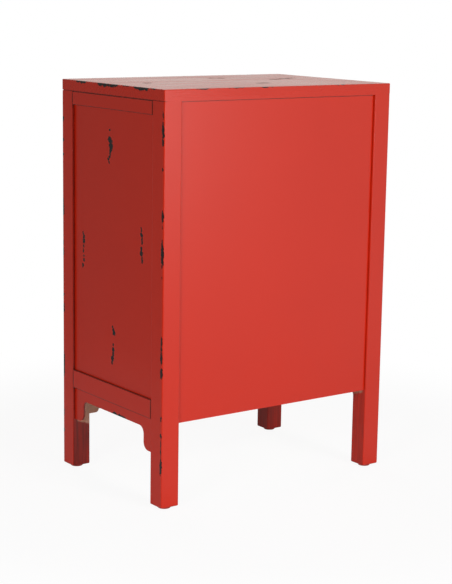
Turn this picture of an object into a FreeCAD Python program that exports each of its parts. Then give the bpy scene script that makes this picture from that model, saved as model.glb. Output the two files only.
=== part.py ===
import FreeCAD, Part
import os

# Red lacquered nightstand: a mortised frame of square legs and rails, panels in grooves,
# carved aprons, one drawer on wooden runners and a pair of framed doors on barrel hinges.
# Millimetres. +Z is up, +Y is the back, -Y is the front and +X is the right side seen from the front.
# The origin is on the floor, under the middle of the box round the whole piece.

# Case
width = 440.0
depth = 296.0
height = 644.0
top_thickness = 18.0
top_edge_round = 1.5
shadow_line = 1.4
leg_side = 32.0
leg_edge_round = 2.0
fit_gap = 0.1

# Glides under the legs and dowels between the legs and the top
glide_height = 4.0
glide_radius = 10.0
glide_rim_round = 1.2
glide_nail_radius = 1.6
glide_nail_length = 14.0
dowel_radius = 4.0
dowel_in_leg = 18.0
dowel_in_top = 11.0
dowel_inset = 9.0

# Rails
rail_thickness = 22.0
rail_edge_round = 1.0
top_rail_height = 21.0
bottom_rail_height = 30.0
bottom_rail_lift = 140.0
drawer_opening_height = 111.0
divider_height = 24.0
divider_depth = 48.0
tenon_thickness = 8.0
tenon_length = 14.0
tenon_setback = 7.0
tenon_shoulder = 2.0

# Side and back panels, held loose in grooves
panel_thickness = 6.0
panel_recess = 4.0
groove_depth = 8.0
groove_end_gap = 0.4
back_panel_lift = 135.0

# Aprons, with a carved bracket at each end
front_apron_thickness = 12.0
side_apron_thickness = 5.0
apron_recess = 4.0
apron_edge_lift = 121.5
bracket_foot_lift = 85.5
side_lobe_reach = 25.0
side_lobe_radius = 12.5
front_toe_reach = 27.0
front_toe_radius = 6.0
front_lobe_reach = 62.0
front_lobe_radius = 14.0
cove_radius = 12.0
tongue_thickness = 6.0
tongue_length = 6.0

# Cupboard floor
floor_lift = 150.0
floor_thickness = 9.0
floor_groove_depth = 6.0

# Drawer and what it runs on
drawer_gap = 1.5
drawer_run_gap = 0.2
drawer_front_thickness = 18.0
drawer_side_thickness = 10.0
drawer_side_height = 90.0
drawer_lap = 8.0
drawer_back_thickness = 10.0
drawer_back_inset = 8.0
drawer_bottom_thickness = 4.0
drawer_bottom_lift = 8.0
drawer_groove_depth = 5.0
runner_ledge_width = 18.0
runner_thickness = 16.0
guide_height = 30.0
stop_length = 10.0
stop_width = 14.0
stop_height = 14.0
stop_gap = 0.3

# Doors
door_gap = 1.5
door_thickness = 18.0
door_edge_round = 1.0
stile_width = 36.0
door_rail_height = 40.0
door_tenon_length = 22.0
swing_gap = 0.3

# Barrel hinges
hinge_height = 44.0
hinge_inset = 34.0
leaf_width = 20.0
leaf_thickness = 1.5
leaf_corner = 5.0
barrel_radius = 3.2
barrel_standoff = 0.2
leaf_clearance = 0.4
knuckle_gap = 0.3
pin_radius = 1.5
pin_clearance = 0.06
finial_radius = 2.8

# Ring pulls
ring_radius = 13.0
ring_wire_radius = 1.8
eye_wire_radius = 1.4
eye_gap = 0.3
eye_standoff = 7.5
post_radius = 2.0
rosette_radius = 15.0
rosette_thickness = 1.6
rosette_boss_radius = 6.0
rosette_boss_height = 3.0
cotter_leg_length = 12.0
cotter_leg_width = 3.0
cotter_leg_thickness = 1.2

# Magnetic catch
catch_width = 44.0
catch_height = 11.0
catch_depth = 14.0
catch_round = 1.0
catch_gap = 0.3
strike_width = 16.0
strike_height = 10.0
strike_thickness = 1.2
strike_inset = 2.5

# Places that follow from the sizes
eye_hole_radius = ring_wire_radius + eye_gap
eye_ring_radius = eye_hole_radius + eye_wire_radius
pull_reach = eye_standoff + eye_ring_radius + eye_wire_radius
side_x = width / 2
back_y = (depth + pull_reach) / 2
front_y = back_y - depth
leg_x = side_x - leg_side
leg_front_y = front_y + leg_side
leg_rear_y = back_y - leg_side
leg_top = height - top_thickness
top_rail_low = leg_top - top_rail_height
bottom_rail_top = bottom_rail_lift + bottom_rail_height
divider_top = top_rail_low - drawer_opening_height
divider_low = divider_top - divider_height
panel_x = (side_x - panel_recess - panel_thickness, side_x - panel_recess)
back_panel_y = (back_y - panel_recess - panel_thickness, back_y - panel_recess)
rear_rail_y = (back_panel_y[0] - rail_thickness, back_panel_y[0])
floor_z = (floor_lift, floor_lift + floor_thickness)
between_legs_x = (-leg_x, leg_x)
between_legs_y = (leg_front_y, leg_rear_y)
front_tongue_setback = (front_apron_thickness - tongue_thickness) / 2
apron_face_x = side_x - apron_recess
apron_face_y = front_y + apron_recess
tongue_z = (bracket_foot_lift + tenon_shoulder, bottom_rail_lift)
drawer_side_low = divider_top + drawer_run_gap
drawer_side_top = drawer_side_low + drawer_side_height
drawer_side_x = (leg_x - drawer_gap - drawer_side_thickness, leg_x - drawer_gap)
drawer_back_end = leg_rear_y - stop_length - stop_gap
drawer_bottom_z = (drawer_side_low + drawer_bottom_lift,
                   drawer_side_low + drawer_bottom_lift + drawer_bottom_thickness)
door_z = (bottom_rail_top + door_gap, divider_low - door_gap)
door_y = (front_y, front_y + door_thickness)
door_panel_y = (front_y + panel_recess, front_y + panel_recess + panel_thickness)
meeting_stile_x = (door_gap / 2, door_gap / 2 + stile_width)
hinge_stile_x = (leg_x - door_gap - stile_width, leg_x - door_gap)
door_inner_x = (meeting_stile_x[1], hinge_stile_x[0])
hinge_x = leg_x - door_gap / 2
hinge_y = front_y - barrel_radius - barrel_standoff
swing_depth = door_y[1] - hinge_y
swing_reach = ((hinge_x - swing_gap / 2) ** 2 - swing_depth ** 2) ** 0.5
hinge_lows = (door_z[0] + hinge_inset, door_z[1] - hinge_inset - hinge_height)
eye_y = front_y - eye_standoff
drawer_eye_z = (divider_top + top_rail_low + ring_radius) / 2
door_eye_z = (door_z[0] + door_z[1] + ring_radius) / 2
door_eye_x = sum(meeting_stile_x) / 2


def point(x, y, z):
    """A point in the nightstand's frame."""
    return FreeCAD.Vector(x, y, z)


origin = point(0, 0, 0)
along_x = point(1, 0, 0)
along_y = point(0, 1, 0)
along_z = point(0, 0, 1)


def block(x, y, z):
    """A box between pairs of limits in x, y and z."""
    return Part.makeBox(x[1] - x[0], y[1] - y[0], z[1] - z[0], point(x[0], y[0], z[0]))


def grown(limits, gap):
    """A pair of limits moved apart by a gap on each side."""
    return (limits[0] - gap, limits[1] + gap)


def pocket(x, y, z):
    """The space for a tenon or tongue, with the fit gap all round it."""
    return block(grown(x, fit_gap), grown(y, fit_gap), grown(z, fit_gap))


def edges_on(solid, axis, level):
    """The edges of a solid that lie in the plane where one coordinate has a given value."""
    return [edge for edge in solid.Edges
            if all(abs(vertex.Point[axis] - level) < 1e-6 for vertex in edge.Vertexes)]


def edges_along(solid, axis):
    """The straight edges of a box that run along one axis."""
    return [edge for edge in solid.Edges if edge.BoundBox.DiagonalLength - span(edge, axis) < 1e-6]


def span(edge, axis):
    """The length of an edge's bounding box along one axis."""
    box = edge.BoundBox
    return (box.XLength, box.YLength, box.ZLength)[axis]


def mirrored(solid):
    """The left-hand copy of a right-hand piece."""
    return solid.mirror(origin, along_x)


def into_leg_y(end, reach):
    """The y limits of what goes a given reach into the front or the rear leg."""
    if end == "front":
        return (leg_front_y - reach, leg_front_y)
    return (leg_rear_y, leg_rear_y + reach)


# Frame joints: the limits of each tenon and tongue, shared with the mortise or groove that takes it

side_tenon_x = (side_x - tenon_setback - tenon_thickness, side_x - tenon_setback)
front_tenon_y = (front_y + tenon_setback, front_y + tenon_setback + tenon_thickness)
rear_tenon_y = (sum(rear_rail_y) / 2 - tenon_thickness / 2, sum(rear_rail_y) / 2 + tenon_thickness / 2)
tenon_reach_x = (leg_x, leg_x + tenon_length)
tongue_reach_x = (leg_x, leg_x + tongue_length)
side_tongue_x = (apron_face_x - side_apron_thickness, apron_face_x)
front_tongue_y = (apron_face_y + front_tongue_setback,
                  apron_face_y + front_tongue_setback + tongue_thickness)
side_tenon_heights = ((top_rail_low + groove_depth + tenon_shoulder, leg_top - tenon_shoulder),
                      (bottom_rail_lift + tongue_length + tenon_shoulder,
                       bottom_rail_top - groove_depth - tenon_shoulder))
divider_tenon_z = (divider_low + tenon_shoulder, divider_top - tenon_shoulder)
top_tenon_z = (top_rail_low + tenon_shoulder, leg_top - tenon_shoulder)
bottom_tenon_z = (bottom_rail_lift + tongue_length + tenon_shoulder, bottom_rail_top - tenon_shoulder)
front_tenon_heights = (top_tenon_z, divider_tenon_z, bottom_tenon_z)
rear_tenon_heights = (top_tenon_z, bottom_tenon_z)
side_groove_z = (bottom_rail_top - groove_depth, top_rail_low + groove_depth)


def dowel(y, gap):
    """The dowel between the right leg and the top, or with a gap the hole for it."""
    base = point(side_x - dowel_inset, y, leg_top - dowel_in_leg - gap)
    return Part.makeCylinder(dowel_radius + gap, dowel_in_leg + dowel_in_top + 2 * gap, base)


def glide_nail(y, gap):
    """The nail of the right glide, or with a gap the hole for it."""
    base = point(side_x - leg_side / 2, y, glide_height)
    return Part.makeCylinder(glide_nail_radius + gap, glide_nail_length + gap, base)


def glide(y):
    """A round nail-on glide under a right leg."""
    disc = Part.makeCylinder(glide_radius, glide_height, point(side_x - leg_side / 2, y, 0))
    disc = disc.makeFillet(glide_rim_round, edges_on(disc, 2, 0))
    return disc.fuse(glide_nail(y, 0)).removeSplitter()


def leg(end):
    """A right leg with the mortises, grooves and holes of everything that it takes."""
    y = (front_y, leg_front_y) if end == "front" else (leg_rear_y, back_y)
    post = block((leg_x, side_x), y, (glide_height, leg_top))
    post = post.makeFillet(leg_edge_round, edges_along(post, 2) + edges_on(post, 2, glide_height))
    cuts = [pocket(side_tenon_x, into_leg_y(end, tenon_length), z) for z in side_tenon_heights]
    cuts.append(block(grown(panel_x, fit_gap), into_leg_y(end, groove_depth), side_groove_z))
    cuts.append(pocket(side_tongue_x, into_leg_y(end, tongue_length), tongue_z))
    cuts.append(glide_nail(sum(y) / 2, fit_gap))
    if end == "front":
        cuts += [pocket(tenon_reach_x, front_tenon_y, z) for z in front_tenon_heights]
        cuts.append(pocket(tongue_reach_x, front_tongue_y, tongue_z))
        cuts.append(dowel(front_y + dowel_inset, fit_gap))
    else:
        cuts += [pocket(tenon_reach_x, rear_tenon_y, z) for z in rear_tenon_heights]
        cuts.append(block((leg_x, leg_x + groove_depth), grown(back_panel_y, fit_gap),
                          (back_panel_lift, leg_top)))
        cuts.append(dowel(back_y - dowel_inset, fit_gap))
    return post.cut(cuts)


def top_panel():
    """The top: eased upper edges, a shadow line under its sides and front, and dowel holes."""
    slab = block((-side_x, side_x), (front_y, back_y), (leg_top, height))
    slab = slab.makeFillet(top_edge_round, edges_along(slab, 2) + edges_on(slab, 2, height))
    line_z = (leg_top, leg_top + shadow_line)
    cuts = [block((side_x - shadow_line, side_x), (front_y, back_y), line_z)]
    cuts += [dowel(y, fit_gap) for y in (front_y + dowel_inset, back_y - dowel_inset)]
    cuts += [mirrored(cut) for cut in cuts]
    cuts.append(block((-side_x, side_x), (front_y, front_y + shadow_line), line_z))
    return slab.cut(cuts)


def side_rail(z, tenon_z):
    """A right side rail, flush with the legs, with a tenon at each end."""
    rail = block((side_x - rail_thickness, side_x), between_legs_y, z)
    rail = rail.makeFillet(rail_edge_round, edges_on(rail, 0, side_x))
    tenons = [block(side_tenon_x, into_leg_y(end, tenon_length), tenon_z) for end in ("front", "rear")]
    return rail.fuse(tenons).removeSplitter()


def side_top_rail():
    """The right top rail, grooved below for the side panel."""
    rail = side_rail((top_rail_low, leg_top), side_tenon_heights[0])
    groove = block(grown(panel_x, fit_gap), between_legs_y, (top_rail_low, side_groove_z[1]))
    return rail.cut(groove)


def side_bottom_rail():
    """The right bottom rail, grooved for the side panel, the apron and the cupboard floor."""
    rail = side_rail((bottom_rail_lift, bottom_rail_top), side_tenon_heights[1])
    inner_x = side_x - rail_thickness
    cuts = [block(grown(panel_x, fit_gap), between_legs_y, (side_groove_z[0], bottom_rail_top)),
            block(grown(side_tongue_x, fit_gap), between_legs_y,
                  (bottom_rail_lift, bottom_rail_lift + tongue_length + fit_gap)),
            block((inner_x, inner_x + floor_groove_depth), between_legs_y, grown(floor_z, fit_gap))]
    return rail.cut(cuts)


def cross_rail(y, z, tenon_y, tenon_z, eased_face):
    """A rail across the case between two legs, with a tenon at each end."""
    rail = block(between_legs_x, y, z)
    if eased_face is not None:
        rail = rail.makeFillet(rail_edge_round, edges_on(rail, 1, eased_face))
    tenon = block(tenon_reach_x, tenon_y, tenon_z)
    return rail.fuse([tenon, mirrored(tenon)]).removeSplitter()


def front_bottom_rail():
    """The rail under the doors, grooved for the front apron and the cupboard floor."""
    inner_y = front_y + rail_thickness
    rail = cross_rail((front_y, inner_y), (bottom_rail_lift, bottom_rail_top),
                      front_tenon_y, bottom_tenon_z, front_y)
    cuts = [block(between_legs_x, grown(front_tongue_y, fit_gap),
                  (bottom_rail_lift, bottom_rail_lift + tongue_length + fit_gap)),
            block(between_legs_x, (inner_y - floor_groove_depth, inner_y), grown(floor_z, fit_gap))]
    return rail.cut(cuts)


def rear_bottom_rail():
    """The hidden rail in front of the back panel, grooved for the cupboard floor."""
    rail = cross_rail(rear_rail_y, (bottom_rail_lift, bottom_rail_top), rear_tenon_y, bottom_tenon_z, None)
    groove_y = (rear_rail_y[0], rear_rail_y[0] + floor_groove_depth)
    return rail.cut(block(between_legs_x, groove_y, grown(floor_z, fit_gap)))


def side_panel():
    """The right side panel, held in the grooves of its legs and rails."""
    reach = groove_depth - groove_end_gap
    return block(panel_x, grown(between_legs_y, reach), grown((bottom_rail_top, top_rail_low), reach))


def back_panel():
    """The back panel, from its bare lower edge up to the underside of the top."""
    reach = groove_depth - groove_end_gap
    return block(grown(between_legs_x, reach), back_panel_y, (back_panel_lift, leg_top))


def floor_board():
    """The cupboard floor: tongues in the four bottom rails, notched round the legs."""
    reach = floor_groove_depth - groove_end_gap
    board_x = side_x - rail_thickness + reach
    board = block((-board_x, board_x),
                  (front_y + rail_thickness - reach, rear_rail_y[0] + reach), floor_z)
    notch_x = (leg_x - fit_gap, side_x)
    notches = [block(notch_x, (front_y, leg_front_y + fit_gap), floor_z),
               block(notch_x, (leg_rear_y - fit_gap, back_y), floor_z)]
    return board.cut(notches + [mirrored(notch) for notch in notches])


def bracket_edges(lobes, half_length):
    """The lower outline of half an apron, from the leg to the middle of the straight edge.

    Each lobe is a pair: how far it reaches from the leg, and the radius of the quarter round
    that ends it. A hollow cove joins the last lobe to the straight edge.
    """
    edges = []
    here = point(half_length, 0, bracket_foot_lift)
    for reach, radius in lobes:
        x = half_length - reach
        start = point(x + radius, 0, here.z)
        end = point(x, 0, here.z + radius)
        middle = point(x + radius * (1 - 0.5 ** 0.5), 0, here.z + radius * (1 - 0.5 ** 0.5))
        edges += [Part.makeLine(here, start), Part.Arc(start, middle, end).toShape()]
        here = end
    start = point(here.x, 0, apron_edge_lift - cove_radius)
    end = point(here.x - cove_radius, 0, apron_edge_lift)
    bend = cove_radius * (1 - 0.5 ** 0.5)
    middle = point(here.x - bend, 0, apron_edge_lift - bend)
    edges += [Part.makeLine(here, start), Part.Arc(start, middle, end).toShape()]
    edges.append(Part.makeLine(end, point(0, 0, apron_edge_lift)))
    return edges


def apron(lobes, length, thickness, tongue_setback):
    """An apron along x, its outer face in the plane y = 0, with a tongue on its top and ends.

    The tongue is set back the same from both faces, and with no setback it is the whole board.
    """
    half_length = length / 2
    edges = bracket_edges(lobes, half_length)
    top_middle = point(0, 0, bottom_rail_lift)
    top_end = point(half_length, 0, bottom_rail_lift)
    edges.append(Part.makeLine(point(0, 0, apron_edge_lift), top_middle))
    edges.append(Part.makeLine(top_middle, top_end))
    edges.append(Part.makeLine(top_end, point(half_length, 0, bracket_foot_lift)))
    half = Part.Face(Part.Wire(Part.__sortEdges__(edges))).extrude(along_y * thickness)
    tongue_y = (tongue_setback, thickness - tongue_setback)
    end_tongue = block((half_length, half_length + tongue_length), tongue_y, tongue_z)
    top_tongue = block((-half_length, half_length), tongue_y,
                       (bottom_rail_lift, bottom_rail_lift + tongue_length))
    return half.fuse([mirrored(half), end_tongue, mirrored(end_tongue), top_tongue]).removeSplitter()


def front_apron():
    """The front apron, whose brackets have a small toe and a wider lobe."""
    lobes = ((front_toe_reach, front_toe_radius), (front_lobe_reach, front_lobe_radius))
    board = apron(lobes, 2 * leg_x, front_apron_thickness, front_tongue_setback)
    board.translate(along_y * apron_face_y)
    return board


def side_apron():
    """The right side apron: a thin board in grooves, whose brackets have a single lobe."""
    lobes = ((side_lobe_reach, side_lobe_radius),)
    board = apron(lobes, leg_rear_y - leg_front_y, side_apron_thickness, 0)
    board.rotate(origin, along_z, 90)
    board.translate(point(apron_face_x, (leg_front_y + leg_rear_y) / 2, 0))
    return board


def drawer_runner():
    """The right runner: a ledge under the drawer side and a guide beside it, flush with the legs."""
    ledge_x = leg_x - runner_ledge_width
    outline = ((ledge_x, divider_top - runner_thickness), (panel_x[0], divider_top - runner_thickness),
               (panel_x[0], divider_top + guide_height), (leg_x, divider_top + guide_height),
               (leg_x, divider_top), (ledge_x, divider_top))
    corners = [point(x, front_y + divider_depth, z) for x, z in outline]
    face = Part.Face(Part.makePolygon(corners + corners[:1]))
    return face.extrude(along_y * (leg_rear_y - front_y - divider_depth))


def drawer_stop():
    """The right stop block, on the rear end of the runner's ledge."""
    middle = leg_x - runner_ledge_width / 2
    return block(grown((middle, middle), stop_width / 2), (leg_rear_y - stop_length, leg_rear_y),
                 (divider_top, divider_top + stop_height))


def post_hole(x, y, z):
    """The hole for a pull's post through wood between two y limits."""
    return Part.makeCylinder(post_radius + fit_gap, y[1] - y[0], point(x, y[0], z), along_y)


def drawer_front():
    """The drawer front, lapped behind for the sides and grooved for the bottom."""
    front_x = leg_x - drawer_gap
    front_y_limits = (front_y, front_y + drawer_front_thickness)
    board = block((-front_x, front_x), front_y_limits,
                  (divider_top + drawer_gap, top_rail_low - drawer_gap))
    board = board.makeFillet(door_edge_round, edges_on(board, 1, front_y))
    lap = block((drawer_side_x[0] - fit_gap, front_x),
                (front_y_limits[1] - drawer_lap, front_y_limits[1]),
                (divider_top, drawer_side_top + fit_gap))
    groove = block(grown((-drawer_side_x[0], drawer_side_x[0]), fit_gap),
                   (front_y_limits[1] - drawer_groove_depth, front_y_limits[1]),
                   grown(drawer_bottom_z, fit_gap))
    return board.cut([lap, mirrored(lap), groove, post_hole(0, front_y_limits, drawer_eye_z)])


def drawer_back_y():
    """The y limits of the drawer back."""
    rear = drawer_back_end - drawer_back_inset
    return (rear - drawer_back_thickness, rear)


def drawer_side():
    """The right drawer side, grooved for the bottom and housed for the back."""
    board = block(drawer_side_x, (front_y + drawer_front_thickness - drawer_lap, drawer_back_end),
                  (drawer_side_low, drawer_side_top))
    groove_x = (drawer_side_x[0], drawer_side_x[0] + drawer_groove_depth)
    groove = block(groove_x, (front_y, drawer_back_end), grown(drawer_bottom_z, fit_gap))
    housing = block(groove_x, grown(drawer_back_y(), fit_gap), (drawer_bottom_z[1], drawer_side_top))
    return board.cut([groove, housing])


def drawer_back():
    """The drawer back, standing on the bottom between the two sides."""
    reach = drawer_groove_depth - groove_end_gap
    return block(grown((-drawer_side_x[0], drawer_side_x[0]), reach), drawer_back_y(),
                 (drawer_bottom_z[1] + fit_gap, drawer_side_top))


def drawer_bottom():
    """The drawer bottom, slid into the grooves of the sides and the front from behind."""
    reach = drawer_groove_depth - groove_end_gap
    front_edge = front_y + drawer_front_thickness - reach
    return block(grown((-drawer_side_x[0], drawer_side_x[0]), reach), (front_edge, drawer_back_end),
                 drawer_bottom_z)


# Doors

door_rail_heights = ((door_z[1] - door_rail_height, door_z[1]), (door_z[0], door_z[0] + door_rail_height))
door_panel_z = (door_rail_heights[1][1], door_rail_heights[0][0])


def door_tenon_z(rail_z):
    """The z limits of a door rail's tenon, clear of the panel groove and the door's end."""
    if rail_z[1] == door_z[1]:
        return (rail_z[0] + groove_depth + tenon_shoulder, rail_z[1] - tenon_shoulder)
    return (rail_z[0] + tenon_shoulder, rail_z[1] - groove_depth - tenon_shoulder)


def door_stile(x, inner_x, inward):
    """A stile of the right door, grooved and mortised in the edge that faces its panel."""
    stile = block(x, door_y, door_z)
    stile = stile.makeFillet(door_edge_round, edges_on(stile, 1, front_y))

    def reach(length):
        return tuple(sorted((inner_x, inner_x - inward * length)))

    cuts = [pocket(reach(door_tenon_length), door_panel_y, door_tenon_z(z)) for z in door_rail_heights]
    cuts.append(block(reach(groove_depth), grown(door_panel_y, fit_gap), grown(door_panel_z, groove_depth)))
    return stile.cut(cuts)


def meeting_stile():
    """The stile at the middle, drilled for the pull, its edge bevelled so that both doors clear."""
    stile = door_stile(meeting_stile_x, meeting_stile_x[1], 1)
    edge_x = meeting_stile_x[0]
    corners = [point(edge_x, door_y[0], door_z[0]), point(edge_x, door_y[1], door_z[0]),
               point(hinge_x - swing_reach, door_y[1], door_z[0])]
    wedge = Part.Face(Part.makePolygon(corners + corners[:1])).extrude(along_z * (door_z[1] - door_z[0]))
    return stile.cut([wedge, post_hole(door_eye_x, door_y, door_eye_z)])


def door_rail(z):
    """A rail of the right door, with two tenons and a groove for the panel."""
    rail = block(door_inner_x, door_y, z)
    rail = rail.makeFillet(rail_edge_round, edges_on(rail, 1, front_y))
    tenon = block(grown(door_inner_x, door_tenon_length), door_panel_y, door_tenon_z(z))
    groove = block(door_inner_x, grown(door_panel_y, fit_gap), grown(door_panel_z, groove_depth))
    return rail.cut(groove).fuse(tenon).removeSplitter()


def door_panel():
    """The panel of the right door, loose in the grooves of its frame."""
    reach = groove_depth - groove_end_gap
    return block(grown(door_inner_x, reach), door_panel_y, grown(door_panel_z, reach))


# Barrel hinges of the right door

knuckle_height = (hinge_height - 2 * knuckle_gap) / 3
knuckle_step = knuckle_height + knuckle_gap


def hinge_leaf(low, knuckles, outward):
    """A leaf on the leg (outward 1) or on the door (outward -1), with its own knuckles."""
    inner = barrel_radius + leaf_clearance
    plate = block((inner, leaf_width), (front_y - leaf_thickness, front_y), (low, low + hinge_height))
    corners = [edge for edge in edges_along(plate, 1) if edge.CenterOfMass.x > inner + leaf_clearance]
    plate = plate.makeFillet(leaf_corner, corners)
    parts = []
    for index in knuckles:
        z = low + index * knuckle_step
        parts.append(Part.makeCylinder(barrel_radius, knuckle_height, point(0, hinge_y, z)))
        parts.append(block((0, inner), (front_y - leaf_thickness, front_y), (z, z + knuckle_height)))
    leaf = plate.fuse(parts).removeSplitter()
    bore = Part.makeCylinder(pin_radius + pin_clearance, hinge_height, point(0, hinge_y, low))
    leaf = leaf.cut(bore)
    if outward < 0:
        leaf = mirrored(leaf)
    leaf.translate(along_x * hinge_x)
    return leaf


def hinge_pin(low):
    """A loose pin with a ball finial at each end."""
    finial_sink = (finial_radius ** 2 - pin_radius ** 2) ** 0.5
    pin = Part.makeCylinder(pin_radius, hinge_height, point(hinge_x, hinge_y, low))
    upper = Part.makeSphere(finial_radius, point(hinge_x, hinge_y, low + hinge_height + finial_sink))
    lower = Part.makeSphere(finial_radius, point(hinge_x, hinge_y, low - finial_sink))
    barrel = block(grown((hinge_x, hinge_x), barrel_radius), grown((hinge_y, hinge_y), barrel_radius),
                   (low - pin_clearance, low + hinge_height + pin_clearance))
    ends = [ball.cut(barrel) for ball in (upper, lower)]
    caps = [Part.makeCylinder(pin_radius, finial_radius, point(hinge_x, hinge_y, low + hinge_height)),
            Part.makeCylinder(pin_radius, finial_radius, point(hinge_x, hinge_y, low - finial_radius))]
    return pin.fuse(ends + caps).removeSplitter()


# Ring pulls

def rosette(x, z):
    """A round back plate with a quarter-round rim and a domed boss, turned about the post's axis."""
    hole = post_radius + fit_gap
    dome_height = rosette_boss_height - rosette_thickness
    dome_radius = (rosette_boss_radius ** 2 + dome_height ** 2) / (2 * dome_height)

    def dome(radius):
        rise = (dome_radius ** 2 - radius ** 2) ** 0.5 - dome_radius + dome_height
        return point(radius, -rosette_thickness - rise, 0)

    rim_slant = rosette_thickness * 0.5 ** 0.5
    rim_foot = point(rosette_radius, 0, 0)
    rim_middle = point(rosette_radius - rosette_thickness + rim_slant, -rim_slant, 0)
    rim_top = point(rosette_radius - rosette_thickness, -rosette_thickness, 0)
    bore_foot = point(hole, 0, 0)
    boss_foot = dome(rosette_boss_radius)
    boss_middle = dome((rosette_boss_radius + hole) / 2)
    edges = [Part.makeLine(bore_foot, rim_foot),
             Part.Arc(rim_foot, rim_middle, rim_top).toShape(),
             Part.makeLine(rim_top, boss_foot),
             Part.Arc(boss_foot, boss_middle, dome(hole)).toShape(),
             Part.makeLine(dome(hole), bore_foot)]
    plate = Part.Face(Part.Wire(edges)).revolve(origin, along_y, 360)
    plate.translate(point(x, front_y, z))
    return plate


def eye_post(x, z, wood_thickness):
    """The eye that the ring hangs in, its post through the wood and the two legs bent flat behind."""
    eye = Part.makeTorus(eye_ring_radius, eye_wire_radius, point(x, eye_y, z), along_x)
    post_y = (eye_y + eye_ring_radius, front_y + wood_thickness + cotter_leg_thickness)
    post = Part.makeCylinder(post_radius, post_y[1] - post_y[0], point(x, post_y[0], z), along_y)
    bent = block(grown((x, x), cotter_leg_width / 2),
                 (front_y + wood_thickness, front_y + wood_thickness + cotter_leg_thickness),
                 grown((z, z), cotter_leg_length))
    return eye.fuse([post, bent]).removeSplitter()


def ring(x, z):
    """The ring, hanging straight down through its eye."""
    return Part.makeTorus(ring_radius, ring_wire_radius, point(x, eye_y, z - ring_radius), along_y)


# Magnetic catch

strike_y = (door_y[1], door_y[1] + strike_thickness)


def door_catch():
    """The double catch under the divider, which both doors close against."""
    body = block((-catch_width / 2, catch_width / 2),
                 (strike_y[1] + catch_gap, strike_y[1] + catch_gap + catch_depth),
                 (divider_low - catch_height, divider_low))
    return body.makeFillet(catch_round, edges_on(body, 2, divider_low - catch_height))


def strike_plate():
    """The right door's steel plate, which the catch holds."""
    low_x = meeting_stile_x[0] + strike_inset
    top = door_z[1] - strike_inset
    return block((low_x, low_x + strike_width), strike_y, (top - strike_height, top))


# Pieces, by name

pieces = {
    "top_panel": top_panel(),
    "back_panel": back_panel(),
    "front_top_rail": cross_rail((front_y, front_y + rail_thickness), (top_rail_low, leg_top),
                                 front_tenon_y, top_tenon_z, front_y),
    "drawer_divider_rail": cross_rail((front_y, front_y + divider_depth), (divider_low, divider_top),
                                      front_tenon_y, divider_tenon_z, front_y),
    "front_bottom_rail": front_bottom_rail(),
    "front_apron": front_apron(),
    "rear_top_rail": cross_rail(rear_rail_y, (top_rail_low, leg_top), rear_tenon_y, top_tenon_z, None),
    "rear_bottom_rail": rear_bottom_rail(),
    "floor_board": floor_board(),
    "drawer_front": drawer_front(),
    "drawer_back": drawer_back(),
    "drawer_bottom": drawer_bottom(),
    "drawer_pull_rosette": rosette(0, drawer_eye_z),
    "drawer_pull_eye": eye_post(0, drawer_eye_z, drawer_front_thickness),
    "drawer_pull_ring": ring(0, drawer_eye_z),
    "door_catch": door_catch(),
}

right_pieces = {
    "leg_front": leg("front"),
    "leg_rear": leg("rear"),
    "side_top_rail": side_top_rail(),
    "side_bottom_rail": side_bottom_rail(),
    "side_panel": side_panel(),
    "side_apron": side_apron(),
    "drawer_runner": drawer_runner(),
    "drawer_side": drawer_side(),
    "door_hinge_stile": door_stile(hinge_stile_x, hinge_stile_x[0], -1),
    "door_meeting_stile": meeting_stile(),
    "door_top_rail": door_rail(door_rail_heights[0]),
    "door_bottom_rail": door_rail(door_rail_heights[1]),
    "door_panel": door_panel(),
    "door_hinge_leaves": Part.makeCompound([hinge_leaf(low, (1,), -1) for low in hinge_lows]),
    "leg_hinge_leaves": Part.makeCompound([hinge_leaf(low, (0, 2), 1) for low in hinge_lows]),
    "hinge_pins": Part.makeCompound([hinge_pin(low) for low in hinge_lows]),
    "door_pull_rosette": rosette(door_eye_x, door_eye_z),
    "door_pull_eye": eye_post(door_eye_x, door_eye_z, door_thickness),
    "door_pull_ring": ring(door_eye_x, door_eye_z),
    "door_strike_plate": strike_plate(),
}
for name, solid in right_pieces.items():
    pieces[name + "_right"] = solid
    pieces[name + "_left"] = mirrored(solid)

glides = [glide(y) for y in (front_y + leg_side / 2, back_y - leg_side / 2)]
dowels = [dowel(y, 0) for y in (front_y + dowel_inset, back_y - dowel_inset)]
stops = [drawer_stop()]
for name, solids in (("foot_glides", glides), ("top_dowels", dowels), ("drawer_stops", stops)):
    pieces[name] = Part.makeCompound(solids + [mirrored(solid) for solid in solids])

os.makedirs("parts", exist_ok=True)
for name, solid in pieces.items():
    solid.exportStep("parts/" + name + ".step")
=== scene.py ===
"""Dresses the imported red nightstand: rubbed lacquer, bare inner wood, brass fittings and the studio."""

import logging
import math
from collections import defaultdict
from dataclasses import dataclass, field, replace
from enum import Enum
from typing import ClassVar, Iterable, Iterator, Union

import bpy
import numpy as np
from mathutils import Matrix, Vector


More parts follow.
